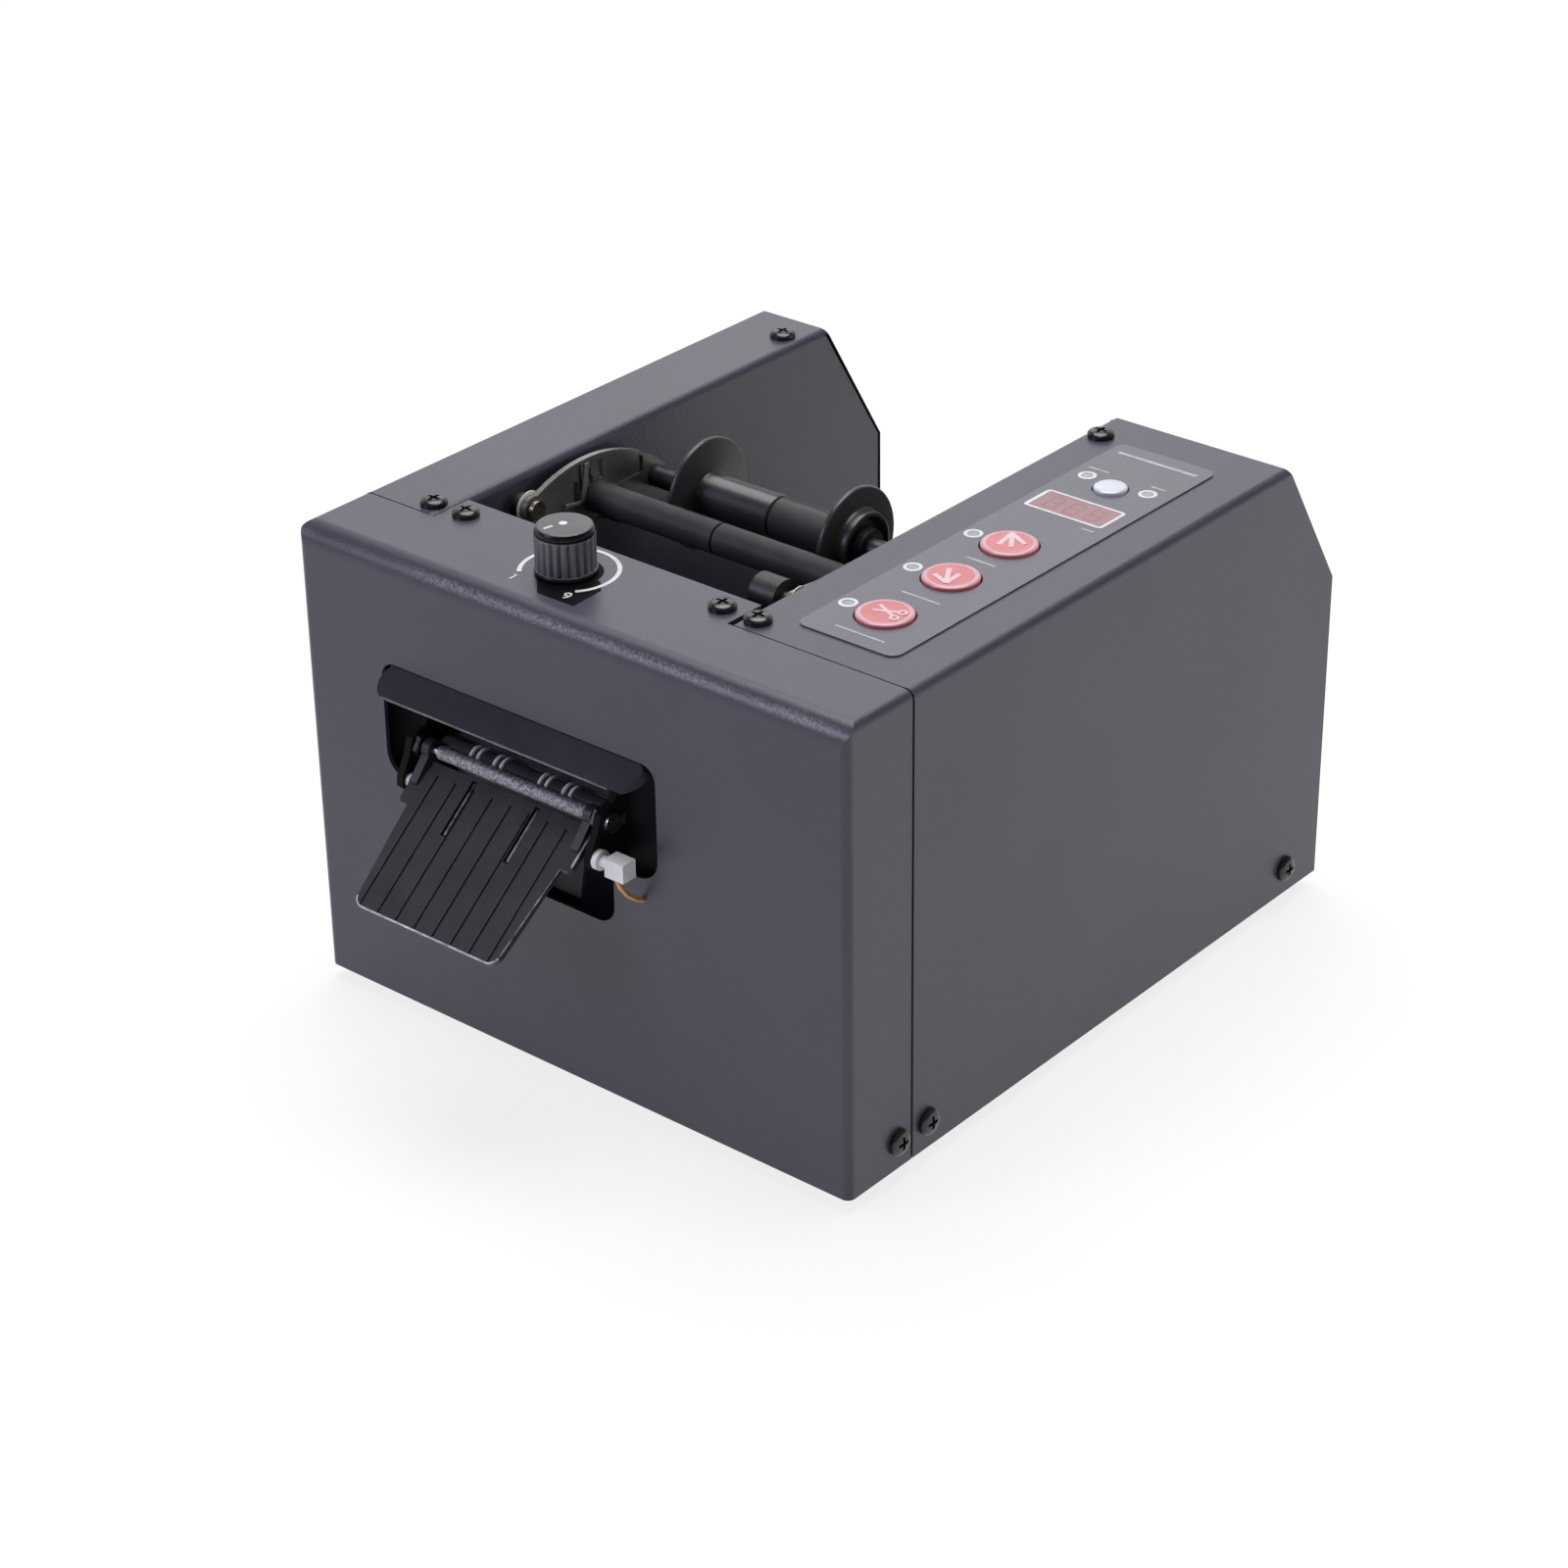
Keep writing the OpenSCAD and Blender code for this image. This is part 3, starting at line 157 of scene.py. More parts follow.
floor_mesh = bpy.data.meshes.new("desk_top")
floor_mesh.from_pydata([(-5, -5, 0), (5, -5, 0), (5, 5, 0), (-5, 5, 0)], [], [(0, 1, 2, 3)])
desk_top = linked(bpy.data.objects.new("desk_top", floor_mesh))
desk_white = bpy.data.materials.new("desk_white")
desk_white.use_nodes = True
desk = desk_white.node_tree
desk_base = desk.nodes["Principled BSDF"]
desk_base.inputs["Base Color"].default_value = (0.92, 0.92, 0.92, 1)
desk_base.inputs["Roughness"].default_value = 0.9
desk_glow = desk.nodes.new("ShaderNodeEmission")
desk_glow.inputs["Strength"].default_value = 1.0
desk_share = reckoned(desk, "MULTIPLY", viewed(desk), 0.8)
mixed(desk, desk_share, desk_base, desk_glow, desk.nodes["Material Output"])
desk_top.data.materials.append(desk_white)


# Base plate: the case's floor, a shallow tray of steel sheet with upturned edges, powder coated in
# a satin dark grey. The covers are screwed to its edges, and the works stand on it.
def finish(
    name, dark, light, patch=90, metallic=0.0, rough=(0.4, 0.55), grain=900, relief=0.05, specular=0.5
):
    """A finish whose colour drifts between two tones, with fine grain in its gloss and its surface."""
    mat = bpy.data.materials.new(name)
    mat.use_nodes = True
    tree = mat.node_tree
    new, link = tree.nodes.new, tree.links.new
    shader = tree.nodes["Principled BSDF"]
    shader.inputs["Metallic"].default_value = metallic
    shader.inputs["Specular IOR Level"].default_value = specular
    place = new("ShaderNodeTexCoord")
    drift = new("ShaderNodeTexNoise")
    drift.inputs["Scale"].default_value = patch
    drift.inputs["Detail"].default_value = 4
    tone = new("ShaderNodeValToRGB")
    tone.name = "tone"
    tone.color_ramp.elements[0].position = 0.32
    tone.color_ramp.elements[1].position = 0.68
    tone.color_ramp.elements[0].color = (*dark, 1)
    tone.color_ramp.elements[1].color = (*light, 1)
    fine = new("ShaderNodeTexNoise")
    fine.inputs["Scale"].default_value = grain
    fine.inputs["Detail"].default_value = 3
    gloss = ranged(tree, fine.outputs["Fac"], 0.3, 0.7, *rough)
    skin = new("ShaderNodeBump")
    skin.inputs["Strength"].default_value = relief
    skin.inputs["Distance"].default_value = 0.0004
    link(place.outputs["Object"], drift.inputs["Vector"])
    link(place.outputs["Object"], fine.inputs["Vector"])
    link(drift.outputs["Fac"], tone.inputs["Fac"])
    link(tone.outputs["Color"], shader.inputs["Base Color"])
    link(gloss, shader.inputs["Roughness"])
    link(fine.outputs["Fac"], skin.inputs["Height"])
    link(skin.outputs["Normal"], shader.inputs["Normal"])
    return mat


def dress(mat, *nodes):
    """Gives CAD nodes a finish."""
    for n in nodes:
        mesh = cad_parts[n].data
        mesh.materials.clear()
        mesh.materials.append(mat)


coat_tones = (0.041, 0.039, 0.0585), (0.047, 0.045, 0.0655)
coat_look = {"patch": 24, "rough": (0.28, 0.38), "grain": 1700, "relief": 0.16, "specular": 0.45}
case_coat = finish("case_coat", *coat_tones, **coat_look)
dress(case_coat, "base_plate")

# Four rubber feet under the corners, each moulded with a sunk middle for its screw.
# They are screwed up into the base plate.
foot_rubber = finish(
    "foot_rubber", (0.010, 0.010, 0.011), (0.018, 0.018, 0.019), patch=240, rough=(0.72, 0.9), grain=2600,
    relief=0.35, specular=0.3
)
dress(foot_rubber, "foot_front_left", "foot_front_right", "foot_rear_left", "foot_rear_right")


# Tape head frame: two cheek plates stood on the floor, a cross stay under the tray and the bar
# for the fixed blade, all cut from black coated sheet. A hex nut holds the exit shaft in each cheek.
def made(name, form, *mats):
    """A worked form kept as a piece, with its finishes."""
    mesh = bpy.data.meshes.new(name)
    form.to_mesh(mesh)
    form.free()
    for mat in mats:
        mesh.materials.append(mat)
    return linked(bpy.data.objects.new(name, mesh))


def mounted(piece, body, node=None):
    """Lets a piece move with a body, in the place of a CAD node if one is named."""
    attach(piece, body)
    if node:
        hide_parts(node)


def turned(name, profile, steps, place, along, mats, crease=35):
    """A piece turned on a lathe: (radius, height, finish number) points, from foot to head."""
    axis = Vector(along)
    across = Vector((0, 1, 0)) if abs(axis.x) > 0.5 else Vector((1, 0, 0))
    around = axis.cross(across)
    middle = Vector(place)
    bm = bmesh.new()
    rings = []
    for point in profile:
        r, h = point[0] / 1000, point[1] / 1000
        if r < 1e-7:
            rings.append([bm.verts.new(middle + axis * h)])
            continue
        ring = []
        for i in range(steps):
            turn = 2 * math.pi * i / steps
            outward = across * math.cos(turn) + around * math.sin(turn)
            ring.append(bm.verts.new(middle + axis * h + outward * r))
        rings.append(ring)
    for k in range(len(rings) - 1):
        low, high = rings[k], rings[k + 1]
        number = profile[k][2] if len(profile[k]) > 2 else 0
        for i in range(steps):
            j = (i + 1) % steps
            if len(low) == 1 and len(high) == 1:
                continue
            if len(low) == 1:
                face = bm.faces.new((low[0], high[j], high[i]))
            elif len(high) == 1:
                face = bm.faces.new((low[i], low[j], high[0]))
            else:
                face = bm.faces.new((low[i], low[j], high[j], high[i]))
            face.material_index = number
            face.smooth = True
    bmesh.ops.remove_doubles(bm, verts=bm.verts, dist=1e-7)
    piece = made(name, bm, *mats)
    piece.data.set_sharp_from_angle(angle=math.radians(crease))
    return piece


coated_sheet = finish(
    "coated_sheet", (0.005, 0.005, 0.006), (0.009, 0.009, 0.010), patch=60, rough=(0.5, 0.66), grain=1400,
    relief=0.12, specular=0.06
)
dress(coated_sheet, "left_cheek", "right_cheek", "blade_bar")
stay_grey = finish(
    "stay_grey", (0.024, 0.024, 0.026), (0.036, 0.036, 0.039), patch=90, rough=(0.4, 0.54), grain=1300,
    relief=0.12, specular=0.12
)
dress(stay_grey, "tray_stay")
nut_black = finish(
    "nut_black", (0.018, 0.018, 0.019), (0.04, 0.04, 0.042), patch=400, metallic=0.6, rough=(0.25, 0.4),
    grain=2400, relief=0.08
)
nut_shape = [
    (0, 0), (3.2, 0), (3.7, 0.25), (3.7, 1.3), (3.2, 1.55), (1.9, 1.55), (1.7, 1.75), (1.5, 1.75),
    (1.3, 2.1), (0, 2.1)
]
exit_y, exit_z = -2.2, 81
for name, cheek_face, inward in (("left_nut", 42.35, 1), ("right_nut", 103.55, -1)):
    place = spot(cheek_face, exit_y, exit_z)
    nut = turned(name, nut_shape, 6, place, (inward, 0, 0), [nut_black], crease=10)
    mounted(nut, "case")


# Rollers of the tape head. The exit sleeve is diamond knurled steel, the slim roller behind it is
# black with paired rubber rings, the drive roller has a rubber cover and the idle roller is ground.
def tree_for(name, *sizes):
    """An empty node tree with a mesh going in and out, and named sizes."""
    tree = bpy.data.node_groups.new(name, "GeometryNodeTree")
    tree.interface.new_socket("Geometry", in_out="INPUT", socket_type="NodeSocketGeometry")
    for label in sizes:
        tree.interface.new_socket(label, in_out="INPUT", socket_type="NodeSocketFloat")
    tree.interface.new_socket("Geometry", in_out="OUTPUT", socket_type="NodeSocketGeometry")
    return tree, tree.nodes.new("NodeGroupInput"), tree.nodes.new("NodeGroupOutput")


def grown(piece, tree, sizes):
    """Runs a node tree on a piece and keeps the result as its plain mesh."""
    grow = piece.modifiers.new("grow", "NODES")
    grow.node_group = tree
    for item in tree.interface.items_tree:
        if item.item_type == "SOCKET" and item.in_out == "INPUT" and item.name in sizes:
            grow[item.identifier] = float(sizes[item.name])
    bpy.context.view_layer.update()
    plain = bpy.data.meshes.new_from_object(piece.evaluated_get(bpy.context.evaluated_depsgraph_get()))
    plain.name = piece.name
    piece.modifiers.remove(grow)
    piece.data = plain


def painted(tree, geometry, mat, out):
    """Ends a tree: what it set out becomes real mesh, in one finish."""
    real = tree.nodes.new("GeometryNodeRealizeInstances")
    paint = tree.nodes.new("GeometryNodeSetMaterial")
    paint.inputs["Material"].default_value = mat
    tree.links.new(geometry, real.inputs[0])
    tree.links.new(real.outputs[0], paint.inputs["Geometry"])
    tree.links.new(paint.outputs[0], out.inputs[0])


def ridged(name, mat):
    """Cuts ridges around a turned piece at the origin; a lead slants them both ways, as a knurl."""
    tree, sizes_in, out = tree_for(name, "Ridges", "Lead", "Depth", "Sharpness", "Lowest", "Highest")
    new, link = tree.nodes.new, tree.links.new
    math_node = partial(reckoned, tree)
    where = new("GeometryNodeInputPosition")
    parts = new("ShaderNodeSeparateXYZ")
    link(where.outputs[0], parts.inputs[0])
    x, y, z = parts.outputs[0], parts.outputs[1], parts.outputs[2]
    swing = math_node("MULTIPLY", math_node("ARCTAN2", y, x), sizes_in.outputs["Ridges"])
    climb = math_node("MULTIPLY", z, sizes_in.outputs["Lead"])
    one = math_node("COSINE", math_node("ADD", swing, climb))
    two = math_node("COSINE", math_node("SUBTRACT", swing, climb))
    wave = math_node("MULTIPLY", math_node("SUBTRACT", 1.0, math_node("MAXIMUM", one, two)), 0.5)
    dip = math_node("POWER", wave, sizes_in.outputs["Sharpness"])
    above = math_node("GREATER_THAN", z, sizes_in.outputs["Lowest"])
    below = math_node("LESS_THAN", z, sizes_in.outputs["Highest"])
    inside = math_node("MULTIPLY", above, below)
    deep = math_node("MULTIPLY", math_node("MULTIPLY", dip, sizes_in.outputs["Depth"]), inside)
    square = math_node("ADD", math_node("MULTIPLY", x, x), math_node("MULTIPLY", y, y))
    radius = math_node("MAXIMUM", math_node("SQRT", square), 1e-6)
    share = math_node("DIVIDE", math_node("MULTIPLY", deep, -1.0), radius)
    inward = new("ShaderNodeCombineXYZ")
    link(math_node("MULTIPLY", x, share), inward.inputs[0])
    link(math_node("MULTIPLY", y, share), inward.inputs[1])
    cut = new("GeometryNodeSetPosition")
    link(sizes_in.outputs["Geometry"], cut.inputs["Geometry"])
    link(inward.outputs[0], cut.inputs["Offset"])
    painted(tree, cut.outputs[0], mat, out)
    return tree


ground_steel = finish(
    "ground_steel", (0.42, 0.42, 0.44), (0.56, 0.56, 0.58), patch=300, metallic=1.0, rough=(0.2, 0.34),
    grain=2400, relief=0.06
)
blued_steel = finish(
    "blued_steel", (0.05, 0.05, 0.055), (0.09, 0.09, 0.1), patch=260, metallic=0.8, rough=(0.28, 0.42),
    grain=2000, relief=0.06
)
knurled_steel = finish(
    "knurled_steel", (0.085, 0.085, 0.092), (0.48, 0.48, 0.51), patch=1250, metallic=0.45,
    rough=(0.34, 0.56), grain=1500, relief=0.3
)
roller_black = finish(
    "roller_black", (0.032, 0.032, 0.035), (0.042, 0.042, 0.046), patch=160, rough=(0.38, 0.46), grain=1500,
    relief=0.03, specular=0.1
)
# The rubber rings are near-white: the colour paints the bright highlights seen on them.
ring_highlight_white = finish(
    "ring_highlight_white", (0.80, 0.80, 0.81), (0.92, 0.92, 0.92), patch=500, rough=(0.25, 0.4), grain=2600,
    relief=0.1
)
drive_rubber = finish(
    "drive_rubber", (0.014, 0.014, 0.014), (0.024, 0.024, 0.024), patch=300, rough=(0.6, 0.8), grain=2200,
    relief=0.3, specular=0.3
)
dress(ground_steel, "exit_shaft", "feed_shaft", "pinch_roller")
dress(blued_steel, "fixed_blade", "moving_blade")
dress(roller_black, "ring_roller")
dress(ring_highlight_white, "roller_rings")
dress(drive_rubber, "feed_roller")

sleeve_long, sleeve_bore = 49.4, 1.25
sleeve_shape = [(sleeve_bore, 0), (1.6, 0), (1.8, 0.2)]
sleeve_shape += [(1.84, 0.3 + (sleeve_long - 0.6) * i / 230) for i in range(231)]
sleeve_shape += [(1.8, sleeve_long - 0.2), (1.6, sleeve_long), (sleeve_bore, sleeve_long), (sleeve_bore, 0)]
knurled_sleeve = turned(
    "knurled_sleeve", sleeve_shape, 96, (0, 0, 0), (0, 0, 1), [knurled_steel], crease=60
)
knurl = {"Ridges": 16, "Lead": 9000, "Depth": 0.0003, "Sharpness": 1, "Lowest": 0.00035, "Highest": 0.04905}
grown(knurled_sleeve, ridged("diamond_knurl", knurled_steel), knurl)
sleeve_place = Matrix.Translation(spot(48.85, exit_y, exit_z))
knurled_sleeve.data.transform(sleeve_place @ Matrix.Rotation(math.radians(90), 4, "Y"))
mounted(knurled_sleeve, "exit", "exit_roller")

# Cutter: the carrier slides between two nylon blocks and is worked by a crank on the motor shaft.
# Motors, gears and their plate stay inside the case.
nylon_white = finish(
    "nylon_white", (0.62, 0.61, 0.57), (0.72, 0.71, 0.67), patch=120, rough=(0.4, 0.55), grain=1200,
    relief=0.06
)
nylon_black = finish(
    "nylon_black", (0.07, 0.07, 0.073), (0.11, 0.11, 0.114), patch=120, rough=(0.45, 0.6), grain=1200,
    relief=0.06, specular=0.25
)
motor_can = finish(
    "motor_can", (0.36, 0.36, 0.37), (0.46, 0.46, 0.47), patch=140, metallic=1.0, rough=(0.28, 0.42),
    grain=1600, relief=0.05
)
turned_brass = finish(
    "turned_brass", (0.42, 0.34, 0.24), (0.60, 0.51, 0.39), patch=300, metallic=1.0, rough=(0.22, 0.36),
    grain=1800, relief=0.06
)
black_plate = finish(
    "black_plate", (0.045, 0.045, 0.048), (0.065, 0.065, 0.068), patch=70, rough=(0.4, 0.55), grain=900,
    relief=0.08, specular=0.25
)
dress(black_plate, "motor_plate", "blade_carrier", "cutter_crank")
dress(nylon_black, "left_guide", "right_guide")
dress(nylon_white, "feed_gear")
dress(motor_can, "cutter_motor", "feed_motor")
dress(turned_brass, "motor_pinion")

# Case covers: 1.2 mm steel sheet, folded and powder coated as the base plate is. The front cover
# carries the mouth and has a painted sheen in pale specks on its bend, two channels cover the arms,
# plain strips close the rear, and black pan head screws hold the covers at the top and low on both sides.
dress(case_coat, "left_cover", "right_cover", "left_rear_panel", "right_rear_panel", "well_panel")


def paint_bend_sheen(mat, pale, low, high, back):
    """Paints a pale sheen in specks along a bend: between two heights, in front of a depth."""
    tree = mat.node_tree
    new, link = tree.nodes.new, tree.links.new
    place = new("ShaderNodeTexCoord")
    parts = new("ShaderNodeSeparateXYZ")
    link(place.outputs["Object"], parts.inputs[0])
    shares = []
    fades = (("Z", low, low + 0.002), ("Z", high, high - 0.0006), ("Y", back, back - 0.0012))
    for socket, start, end in fades:
        span = (start, end, 0.0, 1.0) if start < end else (end, start, 1.0, 0.0)
        shares.append(ranged(tree, parts.outputs[socket], *span, smooth=True))
    for scale, least, most in ((1500, 0.36, 0.68), (30, 0.36, 0.60)):
        specks = new("ShaderNodeTexNoise")
        specks.inputs["Scale"].default_value = scale
        link(place.outputs["Object"], specks.inputs["Vector"])
        shares.append(ranged(tree, specks.outputs["Fac"], least, most))
    sheen_share = shares[0]
    for share in shares[1:]:
        sheen_share = reckoned(tree, "MULTIPLY", sheen_share, share)
    blend = new("ShaderNodeMix")
    blend.data_type = "RGBA"
    blend.inputs[7].default_value = (*pale, 1)
    link(sheen_share, blend.inputs[0])
    link(tree.nodes["tone"].outputs["Color"], blend.inputs[6])
    link(blend.outputs[2], tree.nodes["Principled BSDF"].inputs["Base Color"])


# The front cover's coat has a painted sheen: pale specks along its top bend stand in for a highlight.
front_coat_sheen = finish("front_coat_sheen", *coat_tones, **coat_look)
sheen_low, sheen_high, sheen_back = spot(0, 0, 124.9).z, spot(0, 0, 128.5).z, spot(0, 2.6, 0).y
paint_bend_sheen(front_coat_sheen, (0.155, 0.150, 0.158), sheen_low, sheen_high, sheen_back)
dress(front_coat_sheen, "front_cover")


def screw_heads(name, mat):
    """Sets a crosshead pan screw on every point, along the direction that the point carries."""
    tree, sizes_in, out = tree_for(name, "Radius", "Rim", "Dome", "Slot length", "Slot width", "Slot floor")
    new, link = tree.nodes.new, tree.links.new
    math_node = partial(reckoned, tree)

    def lifted(geometry, height):
        node = new("GeometryNodeTransform")
        shift = new("ShaderNodeCombineXYZ")
        link(height, shift.inputs[2])
        link(geometry, node.inputs["Geometry"])
        link(shift.outputs[0], node.inputs["Translation"])
        return node.outputs[0]

    radius, rim = sizes_in.outputs["Radius"], sizes_in.outputs["Rim"]
    blank = new("GeometryNodeMeshCylinder")
    blank.inputs["Vertices"].default_value = 40
    blank.inputs["Fill Segments"].default_value = 8
    link(radius, blank.inputs["Radius"])
    link(rim, blank.inputs["Depth"])
    where = new("GeometryNodeInputPosition")
    parts = new("ShaderNodeSeparateXYZ")
    link(where.outputs[0], parts.inputs[0])
    x, y, z = parts.outputs[0], parts.outputs[1], parts.outputs[2]
    reach = math_node("ADD", math_node("MULTIPLY", x, x), math_node("MULTIPLY", y, y))
    fall = math_node("SUBTRACT", 1.0, math_node("DIVIDE", reach, math_node("MULTIPLY", radius, radius)))
    bow = math_node("SQRT", math_node("MAXIMUM", fall, 0.0))
    swell = math_node("MULTIPLY", bow, sizes_in.outputs["Dome"])
    crown = new("ShaderNodeCombineXYZ")
    upper = math_node("GREATER_THAN", z, math_node("MULTIPLY", rim, 0.75))
    link(math_node("MULTIPLY", swell, upper), crown.inputs[2])
    head = new("GeometryNodeSetPosition")
    link(lifted(blank.outputs["Mesh"], math_node("MULTIPLY", rim, 0.5)), head.inputs["Geometry"])
    link(crown.outputs[0], head.inputs["Offset"])
    cross = new("GeometryNodeMeshBoolean")
    cross.operation = "DIFFERENCE"
    cross.solver = "EXACT"
    link(head.outputs[0], cross.inputs["Mesh 1"])
    bar_high, bar_step = 0.01, 0.00004
    top = math_node("ADD", sizes_in.outputs["Slot floor"], bar_high / 2)
    for lengthwise in (0, 1):
        size = new("ShaderNodeCombineXYZ")
        size.inputs[2].default_value = bar_high
        link(sizes_in.outputs["Slot length"], size.inputs[lengthwise])
        link(sizes_in.outputs["Slot width"], size.inputs[1 - lengthwise])
        bar = new("GeometryNodeMeshCube")
        link(size.outputs[0], bar.inputs["Size"])
        raised = math_node("ADD", top, bar_step * lengthwise)
        link(lifted(bar.outputs["Mesh"], raised), cross.inputs["Mesh 2"])
    dots = new("GeometryNodeMeshToPoints")
    facing = new("GeometryNodeInputNamedAttribute")
    facing.data_type = "FLOAT_VECTOR"
    facing.inputs["Name"].default_value = "out"
    turn = new("FunctionNodeAlignRotationToVector")
    turn.axis = "Z"
    place = new("GeometryNodeInstanceOnPoints")
    link(sizes_in.outputs["Geometry"], dots.inputs["Mesh"])
    link(facing.outputs["Attribute"], turn.inputs["Vector"])
    link(dots.outputs["Points"], place.inputs["Points"])
    link(cross.outputs["Mesh"], place.inputs["Instance"])
    link(turn.outputs["Rotation"], place.inputs["Rotation"])
    painted(tree, place.outputs["Instances"], mat, out)
    return tree


screw_black = finish(
    "screw_black", (0.010, 0.010, 0.011), (0.022, 0.022, 0.023), patch=500, rough=(0.14, 0.24), grain=2600,
    relief=0.05
)
top_screws = [(30.3, 29.7), (115.2, 29.7), (19.4, 29.4), (17.8, 169), (126.4, 29.6), (126.8, 167.9)]
side_screws = [18.9, 30.5, 188.2]
case_wide, case_long, case_top, screw_low = 177.5, 204, 129, 7.9
seats = [(spot(x, y, case_top), (0, 0, 1)) for x, y in top_screws]
for side, facing in ((0, -1), (case_wide, 1)):
    seats += [(spot(side, y, screw_low), (facing, 0, 0)) for y in side_screws]
seat_mesh = bpy.data.meshes.new("cover_screws")
seat_mesh.from_pydata([seat for seat, _ in seats], [], [])
seat_out = seat_mesh.attributes.new("out", "FLOAT_VECTOR", "POINT")
for number, (_, facing) in enumerate(seats):
    seat_out.data[number].vector = facing
cover_screws = linked(bpy.data.objects.new("cover_screws", seat_mesh))
screw_sizes = {"Radius": 0.00355, "Rim": 0.00105, "Dome": 0.00095}
screw_sizes |= {"Slot length": 0.0037, "Slot width": 0.00095, "Slot floor": 0.0008}
grown(cover_screws, screw_heads("screw_heads", screw_black), screw_sizes)
cover_screws.data.set_sharp_from_angle(angle=math.radians(40))
mounted(cover_screws, "case")

# Low wall across the rear of the well: a plain strip of the case's sheet that stands on the base
# plate between the arms. Its mirror image darkens the foot of the left arm's side.
wall_left, wall_right, wall_foot, corner_z, corner = 24.8, 121.1, 2.1, 43, 5


def arc(x, y, radius, turns):
    """Points on a circle, at turns given in degrees."""
    return [(x + radius * math.cos(math.radians(a)), y + radius * math.sin(math.radians(a))) for a in turns]


wall_outline = [(wall_left, wall_foot), (wall_right, wall_foot)]
wall_outline += arc(wall_right - corner, corner_z, corner, range(0, 91, 15))
wall_outline += arc(wall_left + corner, corner_z, corner, range(90, 181, 15))
wall_form = bmesh.new()
wall_sides = [[wall_form.verts.new(spot(x, y, z)) for x, z in wall_outline] for y in (201.4, 202.6)]
wall_form.faces.new(wall_sides[0])
wall_form.faces.new(wall_sides[1][::-1])
for i in range(len(wall_outline)):
    j = (i + 1) % len(wall_outline)
    wall_form.faces.new((wall_sides[0][i], wall_sides[1][i], wall_sides[1][j], wall_sides[0][j]))
bmesh.ops.recalc_face_normals(wall_form, faces=wall_form.faces)
rims = [edge for edge in wall_form.edges if abs(edge.verts[0].co.y - edge.verts[1].co.y) < 1e-6]
bmesh.ops.bevel(wall_form, geom=rims, offset=0.00025, segments=2, affect="EDGES", profile=0.5)
well_back = made("well_back", wall_form, case_coat)
mounted(well_back, "case")


# Hood over the mouth and the chute in front of it, moulded in black plastic with a fine texture.
# The chute swings on the exit shaft, pale beads paint highlights on its edges, and a wire lies in each slot.
def rod(name, points, radius, mat, sides=10):
    """A round bead or wire along points given in metres."""
    bm = bmesh.new()
    rings = []
    up = Vector((0.3, 0.2, 1)).normalized()
    for i, here in enumerate(points):
        before, after = points[max(i - 1, 0)], points[min(i + 1, len(points) - 1)]
        run = (after - before).normalized()
        side = run.cross(up).normalized()
        top = side.cross(run)
        ring = []
        for k in range(sides):
            turn = 2 * math.pi * k / sides
            outward = side * math.cos(turn) + top * math.sin(turn)
            ring.append(bm.verts.new(here + outward * radius))
        rings.append(ring)
    for low, high in zip(rings, rings[1:]):
        for k in range(sides):
            j = (k + 1) % sides
            bm.faces.new((low[k], low[j], high[j], high[k])).smooth = True
    bm.faces.new(rings[0])
    bm.faces.new(rings[-1])
    bmesh.ops.recalc_face_normals(bm, faces=bm.faces)
    return made(name, bm, mat)


moulded_black = finish(
    "moulded_black", (0.016, 0.016, 0.021), (0.024, 0.024, 0.031), patch=120, rough=(0.36, 0.48),
    grain=1500, relief=0.12, specular=0.16
)
chute_black = finish(
    "chute_black", (0.019, 0.019, 0.023), (0.028, 0.028, 0.033), patch=90, rough=(0.36, 0.5), grain=1700,
    relief=0.14, specular=0.35
)
dress(moulded_black, "mouth_hood")
dress(chute_black, "tray")
# Pale beads along the chute's front edge and its right ear: painted highlights on those edges.
edge_highlight_pale = finish(
    "edge_highlight_pale", (0.16, 0.16, 0.18), (0.62, 0.62, 0.66), patch=330, rough=(0.2, 0.35), grain=1800,
    relief=0.05
)
path_x, chute_y, chute_z, chute_slope = 72.95, -3.5, 78.5, math.radians(38.5)


def on_chute(x, along, rise):
    """A point on the chute: across it, down its slope and off its face."""
    y = chute_y - along * math.cos(chute_slope) - rise * math.sin(chute_slope)
    z = chute_z - along * math.sin(chute_slope) + rise * math.cos(chute_slope)
    return spot(path_x + x, y, z)


sunk = -0.15
front_edge = arc(21, 38, 3, range(15, 91, 15))
edge_run = [on_chute(-x, along, sunk) for x, along in front_edge]
edge_run += [on_chute(-15 + 6 * i, 41, sunk) for i in range(6)]
edge_run += [on_chute(x, along, sunk) for x, along in reversed(front_edge)]
chute_edge = rod("chute_edge", edge_run, 0.00026, edge_highlight_pale)
ear_run = [on_chute(28.75, along, sunk) for along in (1.2, 4.0, 7.0, 10.0, 11.4)]
ear_edge = rod("ear_edge", ear_run, 0.0003, edge_highlight_pale)
# A flecked bead up the chute's right side: a painted highlight on that edge.
edge_highlight_flecks = finish(
    "edge_highlight_flecks", (0.016, 0.016, 0.019), (0.30, 0.30, 0.33), patch=520, rough=(0.3, 0.45), grain=1800,
    relief=0.05
)
side_line = ((28.1, 12.6), (25.95, 12.7), (25.4, 20.0), (24.7, 29.0), (24.1, 36.6), (23.95, 38.2))
side_run = [on_chute(x, along, sunk) for x, along in side_line]
side_edge = rod("side_edge", side_run, 0.00022, edge_highlight_flecks)
for bead in (chute_edge, ear_edge, side_edge):
    mounted(bead, "tray")
wire_grey = finish(
    "wire_grey", (0.020, 0.020, 0.023), (0.30, 0.30, 0.33), patch=300, metallic=0.2, rough=(0.25, 0.4),
    grain=1800, relief=0.05
)
slot_off, slot_wall = 10.6, 0.52
for name, side in (("left_wire", -1), ("right_wire", 1)):
    wire_run = [on_chute(side * slot_off + slot_wall, along, 0.02) for along in (1.4, 6.3, 11.2, 16.2)]
    wire = rod(name, wire_run, 0.00035, wire_grey)
    mounted(wire, "tray")
